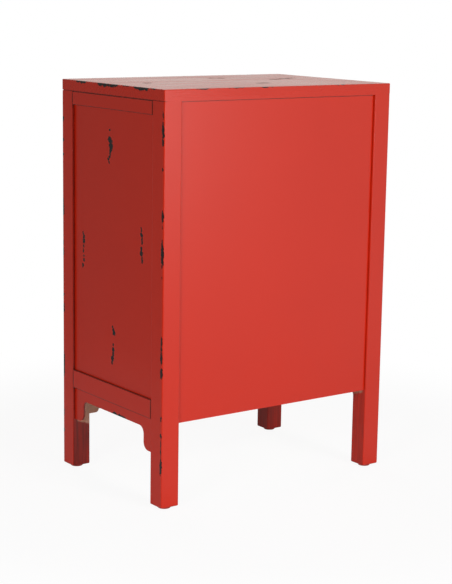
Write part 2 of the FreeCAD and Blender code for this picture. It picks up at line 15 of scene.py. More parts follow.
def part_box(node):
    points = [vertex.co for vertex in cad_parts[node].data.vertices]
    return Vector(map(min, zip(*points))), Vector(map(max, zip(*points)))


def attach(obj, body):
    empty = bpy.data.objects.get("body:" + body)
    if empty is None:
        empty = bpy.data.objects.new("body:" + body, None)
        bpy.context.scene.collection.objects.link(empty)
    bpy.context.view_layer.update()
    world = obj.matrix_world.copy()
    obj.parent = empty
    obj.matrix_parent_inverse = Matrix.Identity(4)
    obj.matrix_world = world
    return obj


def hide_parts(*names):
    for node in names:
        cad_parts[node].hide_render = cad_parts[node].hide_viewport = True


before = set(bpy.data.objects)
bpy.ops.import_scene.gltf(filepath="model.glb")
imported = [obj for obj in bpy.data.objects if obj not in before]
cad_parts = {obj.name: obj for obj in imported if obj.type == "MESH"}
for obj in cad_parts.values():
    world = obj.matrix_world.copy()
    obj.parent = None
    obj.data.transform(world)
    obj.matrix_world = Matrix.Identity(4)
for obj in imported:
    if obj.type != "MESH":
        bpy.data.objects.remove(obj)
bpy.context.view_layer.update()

MM = 0.001
# How much larger a mark's ellipsoid is than the mark that shows.
MARGIN = 1.4
# How many octaves smooth and rough noise have, and the value that noise swings about.
SMOOTH = 2.0
ROUGH = 3.0
NOISE_MIDDLE = 0.5
# A mix has its share at socket 0, with numbers at 2 and 3 or colours at 6 and 7.
COLOUR_MIX = {"out": 2, "data_type": "RGBA"}
# A map range has its value at socket 0, what that runs between at 1 and 2, and what comes out at 3 and 4.
SOFT_STEP = {"interpolation_type": "SMOOTHSTEP"}

log = logging.getLogger("nightstand")

Socket = bpy.types.NodeSocket
Tree = bpy.types.NodeTree
Material = bpy.types.Material
Piece = bpy.types.Object
Input = Union[float, tuple, Socket]
Pair = tuple[float, float]
Point = tuple[float, float, float]
Row = tuple[float, float, float, float]


class Side(Enum):
    """Which half of the nightstand, seen from its front."""

    LEFT = -1
    RIGHT = 1

    @property
    def word(self) -> str:
        """The ending of this side's node names."""
        return self.name.lower()


class Grain(Enum):
    """The axis that a piece's wood grain runs along."""

    WIDTH = 0
    DEPTH = 1
    HEIGHT = 2


class Run(Enum):
    """The two axes that rows of marks are measured on: a face's own, or up a leg and then across it."""

    SIDE = (1, 2)
    FRONT = (0, 2)
    TOP = (0, 1)
    LEG = (2, 1)


@dataclass(frozen=True)
class Mark:
    """One mark on the finish, rubbed through or filled with glaze: an ellipsoid, in millimetres."""

    centre: Point
    reach: Point


def linear(code: str) -> Row:
    """Turns an sRGB hex colour into linear light, by the two parts of the sRGB curve.

    Args:
        code: Colour as "#RRGGBB".

    Returns:
        Linear red, green and blue, with an alpha of 1.
    """
    parts = [int(code[start:start + 2], 16) / 255 for start in (1, 3, 5)]
    red, green, blue = (p / 12.92 if p <= 0.04045 else ((p + 0.055) / 1.055) ** 2.4 for p in parts)
    return red, green, blue, 1.0


def corners(node: str) -> tuple[Vector, Vector]:
    """Gives a node's lowest and highest corners at rest, in millimetres."""
    low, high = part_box(node)
    return low / MM, high / MM


def on_both_sides(names: Iterable[str]) -> list[str]:
    """Writes out names of nodes.

    Args:
        names: Names, with a "%s" where a node's name holds its side.

    Returns:
        The names, with those of both sides where there is a "%s".
    """
    written = []
    for name in names:
        written += [name % side.word for side in Side] if "%s" in name else [name]
    return written


def dress(nodes: Iterable[str], material: Material) -> None:
    """Gives CAD nodes a material.

    Args:
        nodes: Names of the nodes.
        material: The finish that they take.
    """
    for name in nodes:
        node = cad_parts[name]
        if not node.material_slots:
            node.data.materials.append(material)
        for slot in node.material_slots:
            slot.material = material
        log.info("dressed %s in %s", name, material.name)


def place_marks(
    middle: Point, run: Run, rows: Iterable[Row], depth: float, turned: int = 1
) -> list[Mark]:
    """Places marks on a face or along an edge.

    Args:
        middle: Point that the rows are measured from.
        run: The two axes of the rows.
        rows: Places on the two axes, and half sizes on the two axes.
        depth: How deep the marks go on the third axis.
        turned: -1 where the pattern is turned half round, and otherwise 1.

    Returns:
        The marks.
    """
    marks = []
    for row in rows:
        centre, reach = list(middle), [depth] * 3
        for axis, offset, half in zip(run.value, row[:2], row[2:]):
            centre[axis] += turned * offset
            reach[axis] = half * MARGIN
        marks.append(Mark(tuple(centre), tuple(reach)))
    return marks


def edge_rows(spans: Iterable[Point], reach: float) -> list[Row]:
    """Makes rows of marks along an edge.

    Args:
        spans: Middle and half length along the edge, and share of the full reach.
        reach: Full reach of a mark's ellipsoid on to the face beside the edge.

    Returns:
        The rows.
    """
    return [(middle, 0.0, half, share * reach / MARGIN) for middle, half, share in spans]


def add(
    tree: Tree, kind: str, inputs: dict | None = None, out: int | str = 0, **settings: object
) -> Socket:
    """Adds one node with its settings and links.

    Args:
        tree: Node tree that takes the node.
        kind: Node type, without the "ShaderNode" that it starts with.
        inputs: Socket name or number to a constant, or to the output that feeds it.
        out: Name or number of the output that is wanted.
        settings: Properties of the node by name.

    Returns:
        The wanted output socket.
    """
    node = tree.nodes.new("ShaderNode" + kind)
    for key, value in settings.items():
        setattr(node, key, value)
    for key, value in (inputs or {}).items():
        if isinstance(value, Socket):
            tree.links.new(value, node.inputs[key])
        else:
            node.inputs[key].default_value = value
    return node.outputs[out]


def new_material(name: str, **constants: float) -> tuple[Material, Tree]:
    """Starts a material on the Principled shader.

    Args:
        name: Name of the material.
        constants: Shader sockets that are the same all over, with underscores for spaces.

    Returns:
        The material and its node tree.
    """
    material = bpy.data.materials.new(name)
    material.use_nodes = True
    shader = material.node_tree.nodes["Principled BSDF"]
    for key, value in constants.items():
        shader.inputs[key.replace("_", " ")].default_value = value
    return material, material.node_tree


def link_shader(
    tree: Tree, colour: Socket, rough: Socket | None = None, height: Socket | None = None
) -> None:
    """Links what varies over the surface to the Principled shader.

    Args:
        tree: Node tree of the material.
        colour: The colour.
        rough: The roughness, where it varies.
        height: The relief in millimetres, where there is any.
    """
    links = {"Base Color": colour}
    if rough is not None:
        links["Roughness"] = rough
    if height is not None:
        links["Normal"] = add(tree, "Bump", {"Height": height, "Distance": MM})
    for socket, value in links.items():
        tree.links.new(value, tree.nodes["Principled BSDF"].inputs[socket])


def millimetres(tree: Tree) -> Socket:
    """Gives the point on the piece in millimetres of the shared frame."""
    metres = add(tree, "TexCoord", out="Object")
    return add(tree, "VectorMath", {0: metres, "Scale": 1 / MM}, operation="SCALE")


def grain_noise(
    tree: Tree, point: Socket, grain: Grain, width: float, length: float, wander: float = 0.0
) -> Socket:
    """Makes rough noise that is stretched along the grain.

    Args:
        tree: Node tree to add to.
        point: Place on the piece in millimetres.
        grain: The axis that the grain runs along.
        width: Size of the pattern across the grain, in millimetres.
        length: Size of the pattern along the grain, in millimetres.
        wander: How much the pattern is distorted.

    Returns:
        The noise.
    """
    stretch = [1 / width] * 3
    stretch[grain.value] = 1 / length
    along = add(tree, "VectorMath", {0: point, 1: tuple(stretch)}, operation="MULTIPLY")
    return add(tree, "TexNoise", {"Vector": along, "Scale": 1.0, "Detail": ROUGH, "Distortion": wander})


def join_marks(tree: Tree, point: Socket, marks: Iterable[Mark]) -> Input:
    """Joins marks by their maximum, each of them the cone 1 - |(p - centre) / reach|.

    Args:
        tree: Node tree to add to.
        point: Place on the piece in millimetres.
        marks: The marks.

    Returns:
        How far each point is into a mark, from 0 at its rim to 1 in its middle.
    """
    joined: Input = 0.0
    for mark in marks:
        place = {"Vector": point, "Location": mark.centre, "Scale": mark.reach}
        local = add(tree, "Mapping", place, vector_type="TEXTURE")
        cone = add(tree, "TexGradient", {"Vector": local}, out=1, gradient_type="SPHERICAL")
        joined = add(tree, "Math", {0: joined, 1: cone}, operation="MAXIMUM")
    return joined


@dataclass(frozen=True)
class BareWood:
    """Planed rubberwood, unfinished: pale tan with soft figure and short brown pores along the grain."""

    pale: str = "#E6C7AE"
    brown: str = "#D3AA8C"
    pore: str = "#9A7054"
    figure_width: float = 9.0
    figure_length: float = 170.0
    figure_step: Pair = (0.3, 0.7)
    # Real pores are about 0.2 mm wide; they are drawn 0.8 mm wide so that they show.
    pore_width: float = 0.8
    pore_length: float = 13.0
    pore_step: Pair = (0.58, 0.74)
    pore_share: float = 0.6
    pore_depth: float = 0.06
    wander: float = 0.5
    roughness: float = 0.72

    def figure(self, tree: Tree, point: Socket, grain: Grain) -> tuple[Socket, Socket]:
        """Works out the figure, as noise along the grain, and the pores, as the peaks of finer noise.

        Args:
            tree: Node tree to add to.
            point: Place on the piece in millimetres.
            grain: The axis that the grain runs along.

        Returns:
            The colour, and the relief of the pores in millimetres.
        """
        broad = grain_noise(tree, point, grain, self.figure_width, self.figure_length, self.wander)
        fine = grain_noise(tree, point, grain, self.pore_width, self.pore_length, self.wander)
        low, high = self.figure_step
        band = add(tree, "MapRange", {0: broad, 1: low, 2: high}, **SOFT_STEP)
        low, high = self.pore_step
        pores = add(tree, "MapRange", {0: fine, 1: low, 2: high, 4: self.pore_share}, **SOFT_STEP)
        wood = add(tree, "Mix", {0: band, 6: linear(self.pale), 7: linear(self.brown)}, **COLOUR_MIX)
        wood = add(tree, "Mix", {0: pores, 6: wood, 7: linear(self.pore)}, **COLOUR_MIX)
        return wood, add(tree, "Math", {0: pores, 1: -self.pore_depth}, operation="MULTIPLY")

    def material(self, grain: Grain) -> Material:
        """Makes the finish for pieces that were never sprayed.

        Args:
            grain: The axis that the grain runs along.

        Returns:
            The material.
        """
        name = "planed_rubberwood_" + grain.name.lower()
        material, tree = new_material(name, Roughness=self.roughness)
        colour, relief = self.figure(tree, millimetres(tree), grain)
        link_shader(tree, colour, height=relief)
        return material


@dataclass(frozen=True)
class SprayZone:
    """Where the spray gun didn't reach inside the case: a box with a sloping floor, in millimetres."""

    half_width: float
    front: float
    back: float
    top: float
    # The floor's height at one place in X and Y, and how it rises outwards and backwards from there.
    floor: float
    floor_from: Pair
    floor_slope: Pair
    # Overspray drifts in over a few millimetres, so the edge of the paint is soft and uneven.
    drift: float = 2.2
    drift_noise: float = 5.0
    drift_size: float = 7.0
    # Red dust drifted up through the arches on to the bare wood, and thins out with height.
    dust: float = 0.3
    dust_reach: float = 70.0

    def unsprayed(self, tree: Tree, point: Socket) -> tuple[Socket, Socket]:
        """Works out where the wood stayed bare.

        It is the least distance in from any wall of the box, plus some noise, through a soft step.

        Args:
            tree: Node tree to add to.
            point: Place on the piece in millimetres.

        Returns:
            1 where the wood is bare and 0 where it is painted, and the share of red dust on it.
        """
        x, y, z = add(tree, "SeparateXYZ", {0: point}).node.outputs
        across = add(tree, "Math", {0: x}, operation="ABSOLUTE")
        outwards, backwards = self.floor_slope
        base = self.floor - outwards * self.floor_from[0] - backwards * self.floor_from[1]
        rise = add(tree, "Math", {0: across, 1: -outwards, 2: z}, operation="MULTIPLY_ADD")
        rise = add(tree, "Math", {0: y, 1: -backwards, 2: rise}, operation="MULTIPLY_ADD")
        above_floor = add(tree, "Math", {0: rise, 1: base}, operation="SUBTRACT")
        depth = above_floor
        for outer, inner in ((self.half_width, across), (y, self.front), (self.back, y), (self.top, z)):
            wall = add(tree, "Math", {0: outer, 1: inner}, operation="SUBTRACT")
            depth = add(tree, "Math", {0: depth, 1: wall}, operation="MINIMUM")
        mist = add(tree, "TexNoise", {"Vector": point, "Scale": 1 / self.drift_size, "Detail": ROUGH})
        mist = add(tree, "Math", {0: mist, 1: NOISE_MIDDLE}, operation="SUBTRACT")
        depth = add(tree, "Math", {0: mist, 1: self.drift_noise, 2: depth}, operation="MULTIPLY_ADD")
        bare = add(tree, "MapRange", {0: depth, 1: -self.drift, 2: self.drift}, **SOFT_STEP)
        dust = {0: above_floor, 1: 0.0, 2: self.dust_reach, 3: self.dust, 4: 0.0}
        return bare, add(tree, "MapRange", dust)


@dataclass(frozen=True)
class ThinCoatAndShade:
    """The inner faces of a leg: a streaky coat, thinly sprayed over the undercoat, whose dulling is also
    painted shade.
    """

    rear_y: float
    inner_x: float
    least: float
    most: float
    edge: float = 1.6
    streak_width: float = 4.0
    streak_length: float = 70.0
    streak_step: Pair = (0.3, 0.7)

    def dulled(self, tree: Tree, point: Socket) -> Socket:
        """Works out how much of the undercoat shows through, which also paints the shade on these faces.

        It is the larger of the distances past the leg's rear plane and past its inner plane, through a
        soft step, times noise that is stretched along the leg.

        Args:
            tree: Node tree to add to.
            point: Place on the piece in millimetres.

        Returns:
            The share of the undercoat, which is also painted shade.
        """
        x, y, _ = add(tree, "SeparateXYZ", {0: point}).node.outputs
        across = add(tree, "Math", {0: x}, operation="ABSOLUTE")
        behind = add(tree, "Math", {0: y, 1: self.rear_y}, operation="SUBTRACT")
        inside = add(tree, "Math", {0: self.inner_x, 1: across}, operation="SUBTRACT")
        depth = add(tree, "Math", {0: behind, 1: inside}, operation="MAXIMUM")
        faces = add(tree, "MapRange", {0: depth, 1: -self.edge, 2: 0.0}, **SOFT_STEP)
        streaks = grain_noise(tree, point, Grain.HEIGHT, self.streak_width, self.streak_length)
        low, high = self.streak_step
        streaks = add(tree, "MapRange", {0: streaks, 1: low, 2: high, 3: self.least, 4: self.most})
        return add(tree, "Math", {0: faces, 1: streaks}, operation="MULTIPLY")


@dataclass
class Wear:
    """What one piece's finish went through: rubs, scuffs, dark joints and a thinly sprayed coat, the last
    two partly painted shade.
    """

    rubs: list[Mark] = field(default_factory=list)
    joints: list[Mark] = field(default_factory=list)
    scuffs: list[Mark] = field(default_factory=list)
    thin: ThinCoatAndShade | None = None


@dataclass(frozen=True)
class RubbedLacquer:
    """Sprayed red nitrocellulose lacquer over a black undercoat, rubbed through at edges and in strokes.

    It gives the eye an even satin red, with ragged near-black marks and white reflections at low angles.
    """

    zone: SprayZone
    wood: BareWood
    red: str = "#D02709"
    deep_red: str = "#CA2306"
    # The undercoat shows where the red is rubbed through; on the legs' inner faces it is also painted
    # shade.
    undercoat: str = "#0F0D0D"
    # This dark brown darkens the scuffs, and in the joints and on the aprons' sawn edges it is also
    # painted shade.
    glaze: str = "#421004"
    ior: float = 1.5
    specular: float = 0.5
    satin: float = 0.3
    satin_spread: float = 0.015
    # Wax was rubbed on along the grain, which leaves faint streaks in the sheen.
    streak_width: float = 12.0
    streak_length: float = 200.0
    streak_step: Pair = (0.25, 0.75)
    scuff_rough: float = 0.8
    rubbed_rough: float = 0.2
    cloud_size: float = 140.0
    # Orange peel of a spray gun, about 2 mm from dimple to dimple.
    peel_size: float = 2.0
    peel_depth: float = 0.012
    # How ragged marks are: how far noise of one size pushes their rims, and how deep finer noise bites.
    fray_size: float = 6.0
    fray_reach: float = 5.0
    grit_size: float = 2.2
    grit_bite: float = 0.32
    rub_edge: float = 0.16
    rub_depth: float = 0.03
    # How the dark lines in the joints, glazed seams with painted shade, fade in and how dark they get.
    glaze_edge: float = 0.6
    glaze_strength: float = 0.8

    def rubbed(self, tree: Tree, point: Socket, rubs: Iterable[Mark]) -> Socket:
        """Works out where the red is rubbed through.

        Noise pushes the point about so that the marks' rims fray, finer noise bites into the joined marks,
        and a soft step cuts them off.

        Args:
            tree: Node tree to add to.
            point: Place on the piece in millimetres.
            rubs: The marks.

        Returns:
            1 where the undercoat shows and 0 where the red is whole.
        """
        fray = {"Vector": point, "Scale": 1 / self.fray_size, "Detail": ROUGH}
        push = add(tree, "TexNoise", fray, out="Color")
        push = add(tree, "VectorMath", {0: push, 1: (NOISE_MIDDLE,) * 3}, operation="SUBTRACT")
        pushed = {0: push, 1: (self.fray_reach,) * 3, 2: point}
        worn = join_marks(tree, add(tree, "VectorMath", pushed, operation="MULTIPLY_ADD"), rubs)
        grit = add(tree, "TexNoise", {"Vector": point, "Scale": 1 / self.grit_size, "Detail": SMOOTH})
        bitten = add(tree, "Math", {0: grit, 1: -self.grit_bite, 2: worn}, operation="MULTIPLY_ADD")
        return add(tree, "MapRange", {0: bitten, 1: 0.0, 2: self.rub_edge}, **SOFT_STEP)

    def sheen(self, tree: Tree, point: Socket, grain: Grain) -> Socket:
        """Works out the roughness of the whole red: noise that is stretched along the grain.

        Args:
            tree: Node tree to add to.
            point: Place on the piece in millimetres.
            grain: The axis that the streaks run along.

        Returns:
            The roughness.
        """
        streaks = grain_noise(tree, point, grain, self.streak_width, self.streak_length)
        low, high = self.streak_step
        smooth, rough = self.satin - self.satin_spread, self.satin + self.satin_spread
        return add(tree, "MapRange", {0: streaks, 1: low, 2: high, 3: smooth, 4: rough})

    def material(self, piece: str, grain: Grain, wear: Wear) -> Material:
        """Makes the finish for one piece, with that piece's own wear.

        Coats and marks are laid over the red in turn, and bare wood shows where no spray reached.

        Args:
            piece: Name of the piece.
            grain: The axis that its grain runs along.
            wear: What its finish went through.

        Returns:
            The material.
        """
        name = "rubbed_red_lacquer_" + piece
        material, tree = new_material(name, IOR=self.ior, Specular_IOR_Level=self.specular)
        point = millimetres(tree)
        cloud = add(tree, "TexNoise", {"Vector": point, "Scale": 1 / self.cloud_size, "Detail": SMOOTH})
        peel = add(tree, "TexNoise", {"Vector": point, "Scale": 1 / self.peel_size, "Detail": SMOOTH})
        height = add(tree, "Math", {0: peel, 1: self.peel_depth}, operation="MULTIPLY")
        rough = self.sheen(tree, point, grain)
        layers = [(cloud, self.deep_red)]
        # The legs' thinly sprayed coat: the undercoat shows through, and this darkening is also painted
        # shade.
        if wear.thin:
            layers.append((wear.thin.dulled(tree, point), self.undercoat))
        if wear.scuffs:
            scuffed = self.rubbed(tree, point, wear.scuffs)
            layers.append((scuffed, self.glaze))
            rough = add(tree, "Mix", {0: scuffed, 2: rough, 3: self.scuff_rough})
        if wear.rubs:
            rubbed = self.rubbed(tree, point, wear.rubs)
            layers.append((rubbed, self.undercoat))
            sunk = {0: rubbed, 1: -self.rub_depth, 2: height}
            height = add(tree, "Math", sunk, operation="MULTIPLY_ADD")
            rough = add(tree, "Mix", {0: rubbed, 2: rough, 3: self.rubbed_rough})
        # Dark lines in the joints: glazed seams with painted shade in their gaps, and painted shade on the
        # sawn edges.
        if wear.joints:
            lines = {0: join_marks(tree, point, wear.joints), 2: self.glaze_edge, 4: self.glaze_strength}
            layers.append((add(tree, "MapRange", lines, **SOFT_STEP), self.glaze))
        paint: Input = linear(self.red)
        for share, colour in layers:
            paint = add(tree, "Mix", {0: share, 6: paint, 7: linear(colour)}, **COLOUR_MIX)
        bare, dust = self.zone.unsprayed(tree, point)
        wood, pores = self.wood.figure(tree, point, grain)
        wood = add(tree, "Mix", {0: dust, 6: wood, 7: linear(self.red)}, **COLOUR_MIX)
        surface = add(tree, "Mix", {0: bare, 6: paint, 7: wood}, **COLOUR_MIX)
        rough = add(tree, "Mix", {0: bare, 2: rough, 3: self.wood.roughness})
        link_shader(tree, surface, rough, add(tree, "Mix", {0: bare, 2: height, 3: pores}))
        return material


@dataclass(frozen=True)
class AgedBrass:
    """Cast brass, dipped dark and rubbed bright on its heights: brown hollows and soft yellow lights."""

    bright: str = "#C19A55"
    dark: str = "#4A3620"
    patch_size: float = 6.0
    patch_octaves: float = 4.0
    patch_step: Pair = (0.3, 0.72)
    least_bright: float = 0.3
    grain_size: float = 0.7
    grain_depth: float = 0.02
    smooth: float = 0.28
    rough: float = 0.55

    def material(self, relief: bool) -> Material:
        """Makes the brass: noise sets where it was rubbed bright, and finer noise is the casting's skin.

        Args:
            relief: Whether the piece has a "relief" attribute, 0 in its hollows and 1 on its heights.

        Returns:
            The material.
        """
        material, tree = new_material("aged_cast_brass" + ("_relief" if relief else ""), Metallic=1.0)
        point = millimetres(tree)
        patch = {"Vector": point, "Scale": 1 / self.patch_size, "Detail": self.patch_octaves}
        low, high = self.patch_step
        limits = {0: add(tree, "TexNoise", patch), 1: low, 2: high, 3: self.least_bright}
        clean = add(tree, "MapRange", limits, **SOFT_STEP)
        if relief:
            raised = add(tree, "Attribute", out="Fac", attribute_name="relief")
            clean = add(tree, "Math", {0: clean, 1: raised}, operation="MULTIPLY")
        colour = add(tree, "Mix", {0: clean, 6: linear(self.dark), 7: linear(self.bright)}, **COLOUR_MIX)
        rough = add(tree, "MapRange", {0: clean, 3: self.rough, 4: self.smooth})
        cast = add(tree, "TexNoise", {"Vector": point, "Scale": 1 / self.grain_size, "Detail": SMOOTH})
        cast = add(tree, "Math", {0: cast, 1: self.grain_depth}, operation="MULTIPLY")
        link_shader(tree, colour, rough, cast)
        return material


@dataclass(frozen=True)
class ZincPlate:
    """Zinc-plated sheet steel: cool grey with a faint spangle and rolling lines."""

    light: str = "#B9BCBE"
    dull: str = "#8E9295"
    spangle_size: float = 3.0
    line_gap: float = 0.6
    line_length: float = 50.0
    smooth: float = 0.3
    rough: float = 0.46

    def material(self) -> Material:
        """Makes the plated steel: cells set its tone, and stretched noise its fine rolling lines.

        Returns:
            The material.
        """
        material, tree = new_material("zinc_plated_steel", Metallic=1.0)
        point = millimetres(tree)
        spangle = add(tree, "TexVoronoi", {"Vector": point, "Scale": 1 / self.spangle_size}, out="Color")
        tone = add(tree, "SeparateColor", {0: spangle})
        colour = add(tree, "Mix", {0: tone, 6: linear(self.light), 7: linear(self.dull)}, **COLOUR_MIX)
        stretch = (1 / self.line_length, 1 / self.line_length, 1 / self.line_gap)
        rolled = add(tree, "VectorMath", {0: point, 1: stretch}, operation="MULTIPLY")
        line = add(tree, "TexNoise", {"Vector": rolled, "Scale": 1.0, "Detail": SMOOTH})
        link_shader(tree, colour, add(tree, "MapRange", {0: line, 3: self.smooth, 4: self.rough}))
        return material


@dataclass(frozen=True)
class MouldedPlastic:
    """Injection-moulded plastic: one colour, with a fine spark-eroded texture that dulls its sheen."""

    name: str
    colour: str
    shade: str
    ior: float = 1.5
    texture_size: float = 0.5
    texture_depth: float = 0.015
    roughness: float = 0.42

    def material(self) -> Material:
        """Makes the plastic: noise of the mould's texture gives its bump and a slight change of tone.

        Returns:
            The material.
        """
        material, tree = new_material(self.name, IOR=self.ior, Roughness=self.roughness)
        mould = {"Vector": millimetres(tree), "Scale": 1 / self.texture_size, "Detail": SMOOTH}
        texture = add(tree, "TexNoise", mould)
        tones = {0: texture, 6: linear(self.colour), 7: linear(self.shade)}
        colour = add(tree, "Mix", tones, **COLOUR_MIX)
        depth = add(tree, "Math", {0: texture, 1: self.texture_depth}, operation="MULTIPLY")
        link_shader(tree, colour, height=depth)
        return material


@dataclass(frozen=True)
class Finishes:
    """The finishes of the whole nightstand, made once."""

    lacquer: RubbedLacquer
    wood: BareWood
    brass: Material
    relief_brass: Material
    zinc: Material
    catch: Material
    glide: Material


def turn_round(count: int) -> np.ndarray:
    """Gives that many angles, evenly spread all the way round."""
    return np.linspace(0, 2 * math.pi, count, endpoint=False)


def disc_points(turn: np.ndarray, reach: np.ndarray, rise: np.ndarray, peak: float) -> np.ndarray:
    """Makes a raised disc that faces the front: points (r cos a, -height, r sin a) over a flat ring.

    Args:
        turn: Angle of each spoke.
        reach: Radius by ring and spoke, from the rim inwards.
        rise: Height by ring and spoke.
        peak: Height in the middle.

    Returns:
        The rings' points, and after them the middles of the back and of the face.
    """
    face = np.stack((reach * np.cos(turn), -rise, reach * np.sin(turn)), axis=-1)
    rings = np.concatenate((face[:1] * (1.0, 0.0, 1.0), face))
    return np.concatenate((rings.reshape(-1, 3), [[0.0, 0.0, 0.0], [0.0, -peak, 0.0]]))


def disc_faces(rings: int, spokes: int, copies: int = 1) -> list[list[int]]:
    """Joins the points of raised discs into closed skins.

    Args:
        rings: Number of rings in a disc, with the one behind.
        spokes: Number of points in each ring.
        copies: Number of discs, whose points follow each other.

    Returns:
        The faces.
    """
    spoke = np.arange(spokes)
    after = np.roll(spoke, -1)
    ring = (np.arange(rings - 1) * spokes)[:, None]
    quads = np.stack((ring + spoke, ring + after, ring + spokes + after, ring + spokes + spoke), axis=-1)
    middle = np.full(spokes, rings * spokes)
    inner = (rings - 1) * spokes
    back = np.stack((middle, after, spoke), axis=-1)
    front = np.stack((middle + 1, inner + spoke, inner + after), axis=-1)
    disc = (np.arange(copies) * (rings * spokes + 2))[:, None, None]
    quads = (disc + quads.reshape(-1, 4)).reshape(-1, 4)
    caps = (disc + np.concatenate((back, front))).reshape(-1, 3)
    return quads.tolist() + caps.tolist()


def new_piece(name: str, points: np.ndarray, faces: list[list[int]], material: Material) -> Piece:
    """Makes a smooth mesh piece at the origin.

    Args:
        name: Name of the piece.
        points: Points in millimetres, one row each.
        faces: Point numbers of each face.
        material: The piece's finish.

    Returns:
        The piece.
    """
    mesh = bpy.data.meshes.new(name)
    mesh.from_pydata((points * MM).tolist(), [], faces)
    mesh.shade_smooth()
    mesh.materials.append(material)
    piece = bpy.data.objects.new(name, mesh)
    bpy.context.scene.collection.objects.link(piece)
    log.info("built %s, %d faces", name, len(mesh.polygons))
    return piece


@dataclass(frozen=True)
class RingPull:
    """A ring pull: a petalled rosette on the wood, an eye through it and a ring that hangs in the eye."""

    nodes: str
    ending: str
    body: str
    ring_body: str
    petals: int = 8
    scallop: float = 1.3
    # The sheet's own edge stands this high on the wood, before the rolled rim starts.
    rim_wall: float = 0.15
    rim_height: float = 0.7
    petal_height: float = 0.85
    boss_radius: float = 6.0
    spokes: int = 96
    # Shares of the way from rim to middle: the rolled rim, the petals' length and the face's rings.
    rim_share: float = 0.1
    petal_share: float = 0.5
    face_shares: Pair = (0.14, 0.985)
    rim_rings: int = 5
    face_rings: int = 40
    # How bright the brass is rubbed: on petals, on the rim up to a share, in hollows and on the back.
    petal_rub: float = 0.9
    rim_rub: float = 0.6
    rim_rub_share: float = 0.12
    hollow_rub: float = 0.12
    back_rub: float = 0.3
    ring_spokes: int = 96
    wire_spokes: int = 24
    slimming: float = 0.22

    def node(self, part: str) -> str:
        """The node name of one part of the pull."""
        return self.nodes + "_" + part + self.ending

    def rosette(self, finish: Material) -> None:
        """Builds the rosette.

        On a polar grid of turn a and share s from rim to middle, the radius is
        (R - scallop (1 - |cos(n a / 2)|)) (1 - s), and the height is a rolled rim, plus petals
        sin(pi t) sqrt|cos(n a / 2)| along their length t, plus a round boss inside its radius.

        Args:
            finish: The brass with relief.
        """
        low, high = corners(self.node("rosette"))
        middle = (low + high) / 2
        thick = high.y - low.y
        turn = turn_round(self.spokes)
        leaf = np.abs(np.cos(turn * self.petals / 2))
        outline = (high.x - low.x) / 2 - self.scallop * (1 - leaf)
        rim_shares = np.linspace(0.0, self.rim_share, self.rim_rings)
        share = np.concatenate((rim_shares, np.linspace(*self.face_shares, self.face_rings)))[:, None]
        reach = outline * (1 - share)
        rim = self.rim_height * np.sqrt(1 - np.clip(1 - share / self.rim_share, 0, 1) ** 2)
        length = np.clip((share - self.rim_share) / self.petal_share, 0, 1)
        petal = np.sin(math.pi * length) * np.sqrt(leaf)
        dome = np.sqrt(np.clip(1 - (reach / self.boss_radius) ** 2, 0, 1))
        rise = rim + self.petal_height * petal + (thick - self.rim_height) * dome
        points = disc_points(turn, reach, np.maximum(rise, self.rim_wall), thick)
        points += (middle.x, high.y, middle.z)
        piece = new_piece(self.node("petals"), points, disc_faces(len(share) + 1, self.spokes), finish)
        rubbed = self.petal_rub * petal + dome + self.rim_rub * (share < self.rim_rub_share)
        rubbed = np.clip(rubbed, self.hollow_rub, 1).ravel()
        level = np.concatenate((np.full(self.spokes, self.back_rub), rubbed, [self.back_rub, 1.0]))
        relief = piece.data.attributes.new("relief", "FLOAT", "POINT")
        relief.data.foreach_set("value", level.astype(np.float32))
        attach(piece, self.body)
        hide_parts(self.node("rosette"))

    def ring(self, finish: Material) -> None:
        """Builds the ring.

        A round wire is carried along a circle. At turn a its radius is r (1 - slimming (1 + cos a) / 2),
        so the ring is slimmest in the eye and full at the bottom.

        Args:
            finish: The plain brass.
        """
        low, high = corners(self.node("ring"))
        wire = (high.y - low.y) / 2
        path = (high.x - low.x) / 2 - wire
        turn = turn_round(self.ring_spokes)[:, None]
        round_wire = turn_round(self.wire_spokes)
        thick = wire * (1 - self.slimming * (1 + np.cos(turn)) / 2)
        reach = path + thick * np.cos(round_wire)
        places = (reach * np.sin(turn), thick * np.sin(round_wire), reach * np.cos(turn))
        points = np.stack(places, axis=-1).reshape(-1, 3) + np.array((low + high) / 2)
        row = (np.arange(self.ring_spokes) * self.wire_spokes)[:, None]
        next_row = np.roll(row, -1, axis=0)
        column = np.arange(self.wire_spokes)
        next_column = np.roll(column, -1)
        quads = (row + column, next_row + column, next_row + next_column, row + next_column)
        quads = np.stack(quads, axis=-1).reshape(-1, 4).tolist()
        piece = new_piece(self.node("round_ring"), points, quads, finish)
        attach(piece, self.ring_body)
        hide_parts(self.node("ring"))

    def build(self, finishes: Finishes) -> None:
        """Builds the pull's new pieces and dresses its eye.

        Args:
            finishes: The nightstand's finishes.
        """
        self.rosette(finishes.relief_brass)
        self.ring(finishes.brass)
        dress([self.node("eye")], finishes.brass)


